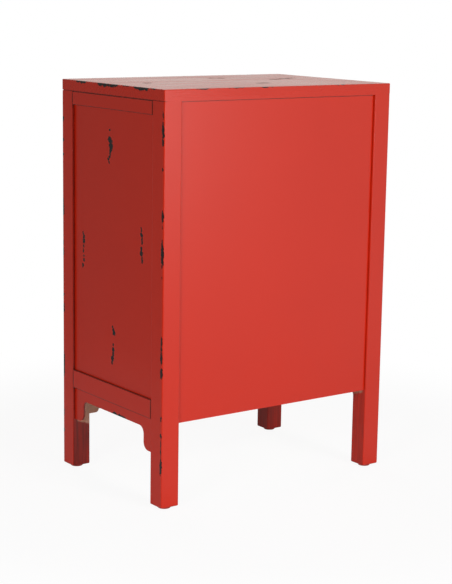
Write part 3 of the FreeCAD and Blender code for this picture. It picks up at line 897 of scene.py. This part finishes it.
@dataclass(frozen=True)
class HingeScrews:
    """The slotted round-head screws of one side's hinge leaves, on the leg and on the door."""

    side: Side
    leaf_thickness: float = 1.5
    # A leaf's flat plate is told from its knuckles by how near it lies to the wood.
    plate_gap: float = 0.1
    from_end: float = 11.0
    head_radius: float = 2.6
    head_height: float = 0.9
    rim_share: float = 0.25
    middle_share: float = 0.06
    slot_half: float = 0.35
    slot_flank: float = 0.15
    slot_depth: float = 0.55
    least_rise: float = 0.08
    # No two slots stand alike: the first one's angle, and how much further each next one is turned.
    first_turn: float = 0.6
    next_turn: float = 1.1
    rings: int = 14
    spokes: int = 48

    def head(self, slot_turn: float) -> np.ndarray:
        """Works out one screw head.

        A dome h (rim + (1 - rim) sqrt(1 - (r / R)^2)) over a polar grid, less a slot where the distance
        from the slot's line is under its half width.

        Args:
            slot_turn: Angle of the slot.

        Returns:
            The points.
        """
        turn = turn_round(self.spokes)
        share = np.linspace(1.0, self.middle_share, self.rings)[:, None]
        reach = self.head_radius * share
        arch = np.sqrt(np.clip(1 - share ** 2, 0, 1))
        dome = self.head_height * (self.rim_share + (1 - self.rim_share) * arch)
        off_line = np.abs(reach * np.sin(turn - slot_turn))
        cut = np.clip((self.slot_half + self.slot_flank - off_line) / self.slot_flank, 0, 1)
        rise = np.maximum(dome - self.slot_depth * cut, self.least_rise)
        return disc_points(turn, reach, rise, self.head_height - self.slot_depth)

    def on_leaves(self, node: str, body: str, finish: Material) -> None:
        """Builds the four screws of one node of two leaves.

        Args:
            node: Name of the leaves' node, whose points give the plates' places.
            body: The body that carries the leaves.
            finish: The brass.
        """
        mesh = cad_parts[node].data
        points = np.empty((len(mesh.vertices), 3), dtype=np.float32)
        mesh.vertices.foreach_get("co", points.ravel())
        points = points.astype(float) / MM
        between = (points[:, 2].min() + points[:, 2].max()) / 2
        heads: list[np.ndarray] = []
        for upper in (False, True):
            leaf = points[(points[:, 2] > between) == upper]
            plate = leaf[leaf[:, 1] > leaf[:, 1].max() - self.plate_gap]
            low, high = plate.min(axis=0), plate.max(axis=0)
            for height in (low[2] + self.from_end, high[2] - self.from_end):
                place = ((low[0] + high[0]) / 2, high[1] - self.leaf_thickness, height)
                heads.append(self.head(self.first_turn + self.next_turn * len(heads)) + place)
        faces = disc_faces(self.rings + 1, self.spokes, len(heads))
        piece = new_piece(node.replace("leaves", "screws"), np.concatenate(heads), faces, finish)
        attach(piece, body)

    def build(self, finishes: Finishes) -> None:
        """Builds the screws on the leg's leaves and on the door's."""
        self.on_leaves("leg_hinge_leaves_" + self.side.word, "case", finishes.brass)
        self.on_leaves("door_hinge_leaves_" + self.side.word, self.side.word + "_door", finishes.brass)


@dataclass(frozen=True)
class Case:
    """The fixed case: legs, rails, panels, aprons, top and floor, and where its red is rubbed through."""

    side_x: float
    front_y: float
    back_y: float
    height: float
    panel_x: float
    leg_x: float
    leg_front_y: float
    leg_rear_y: float
    leg_top: float
    # How deep marks on a face go, and the height that strokes on the side panels are measured from.
    mark_depth: float = 3.0
    stroke_height: float = 385.0
    # Marks along edges: how far they go round the edge, how far in they lie and how far they spread.
    edge_wrap: float = 1.8
    edge_inset: float = 3.0
    edge_reach: float = 4.4
    # The worn lower edge of the side aprons: its height, and how far marks go round it and up from it.
    apron_height: float = 121.5
    apron_wrap: float = 2.5
    apron_reach: float = 4.0
    # Half widths of the dark lines in upright and level joints, glazed seams with painted shade, and how
    # deep and long they are.
    upright_glaze: float = 2.1
    level_glaze: float = 1.25
    # The back seam's line is painted shadow under the top.
    back_glaze: float = 2.0
    apron_glaze: float = 3.0
    glaze_depth: float = 8.0
    glaze_length: float = 900.0
    # The sawn edges of the side aprons are darkened as painted shade, up to the arris of their faces.
    sawn_edge: float = 5.0
    # The top was waxed most, so it shines more and its sheen varies most.
    top_satin: float = 0.28
    top_streaks: float = 0.08
    # The rear plane of the thinly sprayed coat, which is also painted shade, stands off behind the rear
    # legs, because only their inner faces have it.
    rear_coat_gap: float = 1.4
    # The unsprayed inside: how far in from side panels, front, back and top, and its sloping floor.
    bare_side: float = 4.0
    bare_front: float = 13.5
    bare_back: float = 7.5
    bare_top: float = 12.0
    bare_floor: float = 72.7
    bare_slope: Pair = (0.375, 0.25)
    # The spray reached less far up on the rear legs, so their bare wood starts lower by this much.
    rear_bare_drop: float = 7.0

    # The painted pieces and the bare ones, by their grain. A name with a "%s" is there on both sides.
    PAINTED: ClassVar[dict[Grain, tuple[str, ...]]] = {
        Grain.WIDTH: ("top_panel", "front_top_rail", "drawer_divider_rail", "front_bottom_rail",
                      "front_apron", "rear_top_rail", "rear_bottom_rail"),
        Grain.DEPTH: ("side_top_rail_%s", "side_bottom_rail_%s", "side_apron_%s"),
        Grain.HEIGHT: ("back_panel", "leg_front_%s", "leg_rear_%s", "side_panel_%s"),
    }
    BARE: ClassVar[dict[Grain, tuple[str, ...]]] = {
        Grain.WIDTH: ("floor_board", "drawer_back", "drawer_bottom", "drawer_stops"),
        Grain.DEPTH: ("drawer_runner_%s", "drawer_side_%s"),
        Grain.HEIGHT: ("top_dowels",),
    }
    # Strokes on a side panel: from the middle of the depth, from the strokes' height, and half sizes.
    STROKES: ClassVar[tuple[Row, ...]] = (
        (-9, 188, 2.6, 1.4), (-9.6, 172.5, 5.0, 4.8), (-2.8, 171, 2.4, 2.2), (-6.1, 163, 5.6, 5.8),
        (-6.7, 156.5, 3.8, 3.8), (-8.5, 150.5, 1.9, 2.6), (-10.5, 146, 2.4, 2.0), (-13, 142, 2.8, 2.2),
        (-11.3, 137.5, 1.9, 2.6),
        (-90, 16, 2.0, 2.8), (-87.5, 10, 2.5, 4.6), (-87, 3, 3.5, 4.3), (-87.5, -5, 2.2, 3.2),
        (-89.5, -12, 1.8, 3.7), (-87, -21, 2.1, 2.6), (-87.5, -28, 2.4, 3.0), (-90.5, -37, 2.5, 3.9),
        (81.5, 43, 1.9, 4.2), (82, 35.5, 3.7, 3.4), (83.7, 27, 2.2, 6.0), (82, 14, 2.5, 4.0),
        (82.2, 6.5, 4.1, 4.4), (84, -2, 2.1, 5.8),
        (0, -122.5, 2.2, 2.8), (2, -126.5, 2.9, 3.2), (4, -132, 4.1, 4.4), (1.3, -151, 2.4, 3.0),
        (2, -158.5, 3.7, 3.8), (2, -166, 2.8, 4.2), (-0.5, -174, 3.9, 4.8), (-1.5, -180, 2.2, 3.8),
    )
    # Wear up the legs' edges: middle height, half length, and the share of the full reach on to the face.
    REAR_EDGE: ClassVar[tuple[Point, ...]] = (
        (606, 6, 0.5), (584, 12.5, 1.0), (566.5, 6, 0.75), (527.5, 2.6, 0.55), (456.5, 10, 0.9),
        (441.5, 3.6, 0.4), (400, 21, 0.95), (364, 2.2, 0.4), (267, 7, 0.8), (256, 6, 0.5),
        (241.5, 10.5, 0.9), (217, 8.5, 1.1), (146, 5, 0.45), (119, 4, 0.7), (99, 17, 0.35), (70, 13, 0.95),
    )
    FRONT_EDGE: ClassVar[tuple[Point, ...]] = (
        (580, 5, 0.8), (546, 3.4, 0.6), (523, 2.4, 0.4), (447, 7.5, 0.5), (431.5, 8.4, 0.8),
        (378, 4, 0.4), (363.6, 7, 0.6), (291, 2.6, 0.5), (269, 8, 0.7), (175, 22, 0.7), (91, 6, 0.4),
        (60.5, 3.6, 0.45),
    )
    # The same along the top's side edges, from the middle of the depth, and its long edges, of the width.
    TOP_SIDE_EDGE: ClassVar[tuple[Point, ...]] = (
        (-97, 8, 1.0), (-83, 11, 1.1), (-31, 9, 1.6), (-17, 8, 1.8), (1, 14, 1.6), (13, 7, 1.4),
        (43, 14, 0.35), (72, 7, 1.3), (84, 10, 1.7), (97, 8, 1.6), (119, 7, 0.4),
    )
    TOP_LONG_EDGE: ClassVar[tuple[Point, ...]] = (
        (151, 12, 0.5), (90, 16, 0.22), (33, 13, 0.4), (-117, 9, 0.3),
    )
    # Scuffs on top: from the middle of the width and of the depth, half width and half depth.
    TOP_SCUFFS: ClassVar[tuple[Row, ...]] = (
        (154, 0, 9, 5.0), (-24, -77, 8, 4.0), (-38, -70, 9, 5.0), (-22, 67, 13, 6.0),
        (-108, -13, 12, 6.0), (-134, -20, 12, 5.0), (-156, -31, 9, 4.0),
    )
    # Wear along the lower edge of a side apron, from the middle of the depth.
    APRON_EDGE: ClassVar[tuple[Point, ...]] = ((8, 8, 1.1), (22, 7, 1.4), (34, 6, 1.0))
    # The least and most that the undercoat shows through on the legs' inner faces, a thinly sprayed coat
    # that is also painted shade.
    FRONT_LEG_COAT: ClassVar[dict[Side, Pair]] = {Side.RIGHT: (0.45, 0.75), Side.LEFT: (0.2, 0.5)}
    REAR_LEG_COAT: ClassVar[Pair] = (0.0, 0.3)

    @classmethod
    def from_frame(cls) -> "Case":
        """Takes the case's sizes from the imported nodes.

        Returns:
            The case.
        """
        low, high = corners("top_panel")
        leg_low, leg_high = corners("leg_front_right")
        return cls(
            side_x=high.x, front_y=low.y, back_y=high.y, height=high.z,
            panel_x=corners("side_panel_right")[1].x, leg_x=leg_low.x, leg_front_y=leg_high.y,
            leg_rear_y=corners("leg_rear_right")[0].y, leg_top=leg_high.z,
        )

    @property
    def middle_y(self) -> float:
        """The middle of the case's depth, from which the side's marks are measured."""
        return (self.front_y + self.back_y) / 2

    def inside(self) -> SprayZone:
        """Works out where the spray didn't reach.

        Returns:
            The zone, whose floor's height is that at the front legs' inner corner.
        """
        return SprayZone(
            half_width=self.panel_x - self.bare_side, front=self.front_y + self.bare_front,
            back=self.back_y - self.bare_back, top=self.height - self.bare_top, floor=self.bare_floor,
            floor_from=(self.leg_x, self.leg_front_y), floor_slope=self.bare_slope,
        )

    def glaze_lines(self) -> Iterator[tuple[tuple[str, ...], Mark]]:
        """Works out the dark lines in the joints, glazed seams with painted shade: round rails, over the
        side aprons and under the top.

        Returns:
            The nodes that each line runs over, and the line.
        """
        deep, long = self.glaze_depth, self.glaze_length
        yield ("top_panel",), Mark((0.0, self.front_y, self.leg_top), (long, deep, self.level_glaze))
        yield ("back_panel",), Mark((0.0, self.back_y, self.leg_top), (long, deep, self.back_glaze))
        for side in Side:
            outer, face = self.side_x * side.value, self.panel_x * side.value
            level = (deep, long, self.level_glaze)
            front_leg, rear_leg, apron, top_rail, bottom_rail = (kind + side.word for kind in (
                "leg_front_", "leg_rear_", "side_apron_", "side_top_rail_", "side_bottom_rail_"
            ))
            yield ("top_panel",), Mark((outer, self.middle_y, self.leg_top), level)
            for rail in (top_rail, bottom_rail):
                low, high = (corner.z for corner in corners(rail))
                for z in (low, high):
                    yield (rail,), Mark((outer, self.middle_y, z), level)
                for leg, y in ((front_leg, self.leg_front_y), (rear_leg, self.leg_rear_y)):
                    reach = (deep, self.upright_glaze, high - low)
                    yield (rail, leg), Mark((outer, y, (low + high) / 2), reach)
            for rail in ("front_top_rail", "drawer_divider_rail", "front_bottom_rail"):
                low, high = (corner.z for corner in corners(rail))
                centre = (self.leg_x * side.value, self.front_y, (low + high) / 2)
                yield (rail, front_leg), Mark(centre, (self.upright_glaze, deep, high - low))
            seam = corners(bottom_rail)[0].z
            yield (apron,), Mark((face, self.middle_y, seam), (deep, long, self.apron_glaze))
            sawn = face - self.sawn_edge * side.value
            yield (apron,), Mark((sawn, self.middle_y, seam), (self.sawn_edge, long, long))

    def wear(self) -> dict[str, Wear]:
        """Works out what the finish of each painted piece went through.

        Returns:
            The wear by node.
        """
        wear: dict[str, Wear] = defaultdict(Wear)
        front_rows, rear_rows, side_rows, long_rows = (edge_rows(spans, self.edge_reach) for spans in (
            self.FRONT_EDGE, self.REAR_EDGE, self.TOP_SIDE_EDGE, self.TOP_LONG_EDGE
        ))
        apron_rows = edge_rows(self.APRON_EDGE, self.apron_reach)
        wrap, middle_y, top = self.edge_wrap, self.middle_y, wear["top_panel"]
        top.scuffs = place_marks((0.0, middle_y, self.height), Run.TOP, self.TOP_SCUFFS, self.mark_depth)
        for side, long_y in ((Side.LEFT, self.front_y), (Side.RIGHT, self.back_y)):
            outer, face, turned = self.side_x * side.value, self.panel_x * side.value, side.value
            top.rubs += place_marks((outer, middle_y, self.height), Run.SIDE, side_rows, wrap, turned)
            top.rubs += place_marks((0.0, long_y, self.height), Run.FRONT, long_rows, wrap, turned)
            panel, apron = (face, middle_y, self.stroke_height), (face, middle_y, self.apron_height)
            strokes = place_marks(panel, Run.SIDE, self.STROKES, self.mark_depth, turned)
            wear["side_panel_" + side.word].rubs = strokes
            lower_edge = place_marks(apron, Run.SIDE, apron_rows, self.apron_wrap)
            wear["side_apron_" + side.word].rubs = lower_edge
            edge = (outer, self.front_y + self.edge_inset, 0.0)
            wear["leg_front_" + side.word] = Wear(
                rubs=place_marks(edge, Run.LEG, front_rows, wrap),
                thin=ThinCoatAndShade(self.leg_front_y, self.leg_x, *self.FRONT_LEG_COAT[side]),
            )
            rear_y = self.back_y + self.rear_coat_gap
            wear["leg_rear_" + side.word].thin = ThinCoatAndShade(rear_y, self.leg_x, *self.REAR_LEG_COAT)
        edge = (self.side_x, self.back_y - self.edge_inset, 0.0)
        wear["leg_rear_right"].rubs = place_marks(edge, Run.LEG, rear_rows, wrap)
        for nodes, line in self.glaze_lines():
            for node in nodes:
                wear[node].joints.append(line)
        return wear

    def dress(self, finishes: Finishes) -> None:
        """Dresses every node of the case.

        Args:
            finishes: The nightstand's finishes.
        """
        lacquer, wear = finishes.lacquer, self.wear()
        lower_zone = replace(lacquer.zone, floor=lacquer.zone.floor - self.rear_bare_drop)
        special = {"top_panel": replace(lacquer, satin=self.top_satin, satin_spread=self.top_streaks)}
        for name in on_both_sides(["leg_rear_%s"]):
            special[name] = replace(lacquer, zone=lower_zone)
        for grain in Grain:
            for name in on_both_sides(self.PAINTED[grain]):
                dress([name], special.get(name, lacquer).material(name, grain, wear[name]))
            dress(on_both_sides(self.BARE[grain]), finishes.wood.material(grain))
        dress(["foot_glides"], finishes.glide)
        dress(["door_catch"], finishes.catch)


@dataclass(frozen=True)
class Fronts:
    """The drawer front and the two framed doors, with where their red is rubbed through."""

    # How deep marks go: on the flat drawer front, and on the doors down to their panels too.
    drawer_depth: float = 3.0
    door_depth: float = 6.0

    # Wear on the drawer front and the closed right door: across, from middle height, and half sizes.
    DRAWER: ClassVar[tuple[Row, ...]] = (
        (-186, 20, 3.0, 9.0), (186, -14, 3.0, 12.0), (-120, 54, 14.0, 2.6), (64, 54, 18.0, 2.2),
        (150, -54, 12.0, 2.4), (-70, -54, 9.0, 2.0), (-88, 8, 4.0, 6.0), (-86, -3, 3.0, 5.0),
        (112, 16, 3.2, 7.0), (114, 4, 2.4, 4.0),
    )
    DOOR: ClassVar[tuple[Row, ...]] = (
        (1.5, 82, 2.6, 13.0), (1.5, -52, 2.4, 16.0), (185.5, 32, 2.4, 9.0), (60, 148, 13.0, 2.2),
        (132, -148, 16.0, 2.2), (37, -75, 1.8, 12.0), (150, 68, 1.8, 10.0), (92, 76, 3.2, 6.0),
        (90, 65, 2.4, 7.0), (93, 54, 2.0, 4.0), (98, -58, 2.4, 4.0), (96, -68, 3.2, 6.0),
        (97, -79, 2.0, 5.0),
    )

    def wear(self, node: str, rows: Iterable[Row], depth: float, turned: int = 1) -> Wear:
        """Works out the wear on a front.

        Args:
            node: Node that gives the front's face and its middle height.
            rows: Places and half sizes of the marks.
            depth: How deep the marks go.
            turned: -1 where the pattern is turned half round, and otherwise 1.

        Returns:
            The wear.
        """
        low, high = corners(node)
        return Wear(place_marks((0.0, low.y, (low.z + high.z) / 2), Run.FRONT, rows, depth, turned))

    def dress(self, finishes: Finishes) -> None:
        """Dresses the drawer front and the doors.

        Args:
            finishes: The nightstand's finishes.
        """
        lacquer = finishes.lacquer
        wear = self.wear("drawer_front", self.DRAWER, self.drawer_depth)
        dress(["drawer_front"], lacquer.material("drawer_front", Grain.WIDTH, wear))
        for side in Side:
            stile, panel = "door_hinge_stile_" + side.word, "door_panel_" + side.word
            wear = self.wear(stile, self.DOOR, self.door_depth, side.value)
            uprights = lacquer.material("door_uprights_" + side.word, Grain.HEIGHT, wear)
            dress([stile, "door_meeting_stile_" + side.word], uprights)
            rails = lacquer.material("door_rails_" + side.word, Grain.WIDTH, wear)
            dress(["door_top_rail_" + side.word, "door_bottom_rail_" + side.word], rails)
            low, high = corners(panel)
            one_sided = replace(lacquer, zone=replace(lacquer.zone, front=(low.y + high.y) / 2))
            dress([panel], one_sided.material(panel, Grain.HEIGHT, wear))
        hinges = on_both_sides(["door_hinge_leaves_%s", "leg_hinge_leaves_%s", "hinge_pins_%s"])
        dress(hinges, finishes.brass)
        dress(on_both_sides(["door_strike_plate_%s"]), finishes.zinc)


@dataclass(frozen=True)
class Lamp:
    """A square soft lamp: place, aim and size in metres, power in watts and spread in degrees."""

    name: str
    place: Point
    aim: Point
    size: float
    power: float
    # A spread under 180 degrees makes the light fall off away from the aim, as a grid on a softbox does.
    spread: float = 180.0
    # A lamp that only fills isn't seen in reflections, so that it leaves no white patch on the lacquer.
    mirrored: bool = False

    def hang(self) -> None:
        """Hangs the lamp, turned so that it faces its aim."""
        light = bpy.data.lights.new(self.name, "AREA")
        light.shape = "SQUARE"
        light.size = self.size
        light.energy = self.power
        light.spread = math.radians(self.spread)
        lamp = bpy.data.objects.new(self.name, light)
        turn = (Vector(self.aim) - Vector(self.place)).to_track_quat("-Z", "Y").to_matrix().to_4x4()
        lamp.matrix_world = Matrix.Translation(self.place) @ turn
        lamp.visible_glossy = self.mirrored
        bpy.context.scene.collection.objects.link(lamp)
        log.info("hung %s", self.name)


@dataclass(frozen=True)
class Studio:
    """A white sweep on the left, a dimmer room on the right, a white floor, lamps and the camera."""

    white: str = "#FFFFFF"
    floor_radius: float = 0.9
    floor_fade: float = 0.45
    floor_spokes: int = 96
    floor_albedo: str = "#C8C8C8"
    # Share of the lit paper that the camera sees in place of plain white, which keeps the shadow.
    shadow_share: float = 0.08
    # Share of plain white that reflections see on the floor; the rest is lit paper with its shadow.
    mirror_share: float = 0.55
    # Where reflections of the floor change from a painted shadow at the room's tone, under the case, to
    # white behind it.
    floor_step: Pair = (0.1, 0.3)
    ambient: float = 0.06
    # How bright reflections find the room on the right. The white sweep's upper part is warmer.
    room: float = 0.26
    upper: str = "#FFFBF4"
    sweep_edge: float = 0.25
    ground_edge: Pair = (-0.2, 0.0)
    # The sheen lamp hangs low, so that the top doesn't mirror it where it is seen from in front.
    lamps: tuple[Lamp, ...] = (
        Lamp("key_lamp", (-0.25, 3.0, 1.6), (1.2, 0.15, 0.35), size=1.0, power=32.5, spread=130.0),
        Lamp("fill_lamp", (2.8, 1.5, 1.0), (0.2, 0.0, -0.1), size=1.0, power=13.8, spread=100.0),
        Lamp("front_lamp", (-0.5, -2.9, 0.62), (0.0, -0.1, 0.35), size=1.2, power=38.0),
        Lamp("left_lamp", (-2.9, -0.7, 0.62), (-0.2, 0.0, 0.35), size=1.2, power=24.0),
        Lamp("sheen_lamp", (-0.98, 2.9, 0.5), (0.1, 0.15, 0.5), size=0.7, power=12.0, mirrored=True),
    )
    camera_place: Point = (1.49769, 2.06222, 0.78668)
    camera_aim: Point = (-0.00473, 0.00621, 0.29667)
    # The camera's tilt to one side in degrees, lens and sensor in millimetres, and how far it sees.
    camera_roll: float = 0.9
    lens: float = 96.44
    sensor: float = 36.0
    sight: float = 50.0

    def world(self) -> None:
        """Makes the world: white to the camera, and in reflections a white sweep beside a dimmer room.

        Reflections find it bright to the left and dim to the right, in a soft step across, and warmer
        above the ground.
        """
        world = bpy.data.worlds.new("white_studio")
        world.use_nodes = True
        # The strength differs by kind of ray, so the world is only met by rays and not sampled as a lamp.
        world.cycles.sampling_method = "NONE"
        tree = world.node_tree
        rays = add(tree, "LightPath").node.outputs
        direction = add(tree, "TexCoord", out="Generated")
        across, _, level = add(tree, "SeparateXYZ", {0: direction}).node.outputs
        low, high = self.ground_edge
        lifted = add(tree, "MapRange", {0: level, 1: low, 2: high}, **SOFT_STEP)
        step = {0: across, 1: self.sweep_edge, 2: -self.sweep_edge, 3: self.room}
        seen = add(tree, "MapRange", step, **SOFT_STEP)
        kinds = {0: rays["Is Glossy Ray"], 1: rays["Is Transmission Ray"]}
        mirrored = add(tree, "Math", kinds, operation="MAXIMUM")
        strength = add(tree, "Mix", {0: mirrored, 2: self.ambient, 3: seen})
        strength = add(tree, "Math", {0: strength, 1: rays["Is Camera Ray"]}, operation="MAXIMUM")
        warm = add(tree, "Math", {0: mirrored, 1: lifted}, operation="MULTIPLY")
        colour = add(tree, "Mix", {0: warm, 6: linear(self.white), 7: linear(self.upper)}, **COLOUR_MIX)
        for socket, value in (("Color", colour), ("Strength", strength)):
            tree.links.new(value, tree.nodes["Background"].inputs[socket])
        bpy.context.scene.world = world

    def paper(self) -> Material:
        """Makes the floor's matt paper: white where it is seen, with a shadow that fades towards the rim.

        The shadow's share falls from full to none in a soft step, with the distance from the middle.
        Reflections of the floor see a painted shadow at the room's tone under the case.

        Returns:
            The material.
        """
        material = bpy.data.materials.new("white_floor_paper")
        material.use_nodes = True
        tree = material.node_tree
        tree.nodes.remove(tree.nodes["Principled BSDF"])
        rays = add(tree, "LightPath").node.outputs
        seen = rays["Is Camera Ray"]
        for kind in ("Is Glossy Ray", "Is Transmission Ray"):
            seen = add(tree, "Math", {0: seen, 1: rays[kind]}, operation="MAXIMUM")
        place = add(tree, "TexCoord", out="Object")
        distance = add(tree, "VectorMath", {0: place}, out="Value", operation="LENGTH")
        fade = {0: distance, 1: self.floor_fade, 2: self.floor_radius, 3: 1 - self.shadow_share}
        white_share = add(tree, "MapRange", fade, **SOFT_STEP)
        white_share = add(tree, "Mix", {0: rays["Is Camera Ray"], 2: self.mirror_share, 3: white_share})
        white_share = add(tree, "Math", {0: white_share, 1: seen}, operation="MULTIPLY")
        tone = {0: seen, 6: linear(self.floor_albedo), 7: linear(self.white)}
        lit = add(tree, "BsdfDiffuse", {"Color": add(tree, "Mix", tone, **COLOUR_MIX)})
        # Painted shadow under the case, for reflections: the white dims to the room's tone towards the
        # front.
        low, high = self.floor_step
        step = {0: add(tree, "SeparateXYZ", {0: place}, out=1), 1: low, 2: high, 3: self.room}
        strength = {0: add(tree, "MapRange", step, **SOFT_STEP), 1: rays["Is Camera Ray"]}
        strength = add(tree, "Math", strength, operation="MAXIMUM")
        white = add(tree, "Emission", {"Color": linear(self.white), "Strength": strength})
        mixed = add(tree, "MixShader", {0: white_share, 1: lit, 2: white})
        tree.links.new(mixed, tree.nodes["Material Output"].inputs["Surface"])
        return material

    def floor(self) -> None:
        """Makes the floor: a disc at height 0, whose rim is the circle (r cos a, r sin a)."""
        turn = turn_round(self.floor_spokes)
        rim = np.stack((np.cos(turn), np.sin(turn), np.zeros(self.floor_spokes)), axis=-1)
        disc = [list(range(self.floor_spokes))]
        floor = new_piece("studio_floor", rim * self.floor_radius / MM, disc, self.paper())

    def camera(self) -> None:
        """Sets the camera where the photograph was taken, with its slight roll."""
        data = bpy.data.cameras.new("photo_camera")
        data.lens = self.lens
        data.sensor_width = self.sensor
        data.sensor_fit = "AUTO"
        data.clip_end = self.sight
        camera = bpy.data.objects.new("photo_camera", data)
        back = (Vector(self.camera_place) - Vector(self.camera_aim)).normalized()
        right = (-back).cross(Vector((0, 0, 1))).normalized()
        up = right.cross(-back)
        roll = math.radians(self.camera_roll)
        tilted_right = right * math.cos(roll) + up * math.sin(roll)
        tilted_up = up * math.cos(roll) - right * math.sin(roll)
        turn = Matrix((tilted_right, tilted_up, back)).transposed().to_4x4()
        camera.matrix_world = Matrix.Translation(self.camera_place) @ turn
        bpy.context.scene.collection.objects.link(camera)
        bpy.context.scene.camera = camera

    def build(self) -> None:
        """Sets up the world, floor, lamps and camera."""
        bpy.context.scene.view_settings.view_transform = "Standard"
        self.world()
        self.floor()
        for lamp in self.lamps:
            lamp.hang()
        self.camera()


def make_finishes(case: Case) -> Finishes:
    """Makes the nightstand's finishes.

    Args:
        case: The case, whose walls bound the unsprayed inside.

    Returns:
        The finishes.
    """
    wood, brass = BareWood(), AgedBrass()
    return Finishes(
        lacquer=RubbedLacquer(case.inside(), wood),
        wood=wood,
        brass=brass.material(relief=False),
        relief_brass=brass.material(relief=True),
        zinc=ZincPlate().material(),
        catch=MouldedPlastic("moulded_brown_abs", "#5A3B26", "#4C3120").material(),
        glide=MouldedPlastic("sprayed_nylon_glide", "#C23A2C", "#A93226").material(),
    )


def main() -> None:
    """Builds and dresses the nightstand, then the studio round it."""
    logging.basicConfig(level=logging.INFO, format="%(message)s")
    case = Case.from_frame()
    finishes = make_finishes(case)
    case.dress(finishes)
    Fronts().dress(finishes)
    RingPull("drawer_pull", "", "drawer", "drawer_ring").build(finishes)
    for side in Side:
        door = side.word + "_door"
        RingPull("door_pull", "_" + side.word, door, door + "_ring").build(finishes)
        HingeScrews(side).build(finishes)
    Studio().build()


if __name__ == "__main__":
    main()
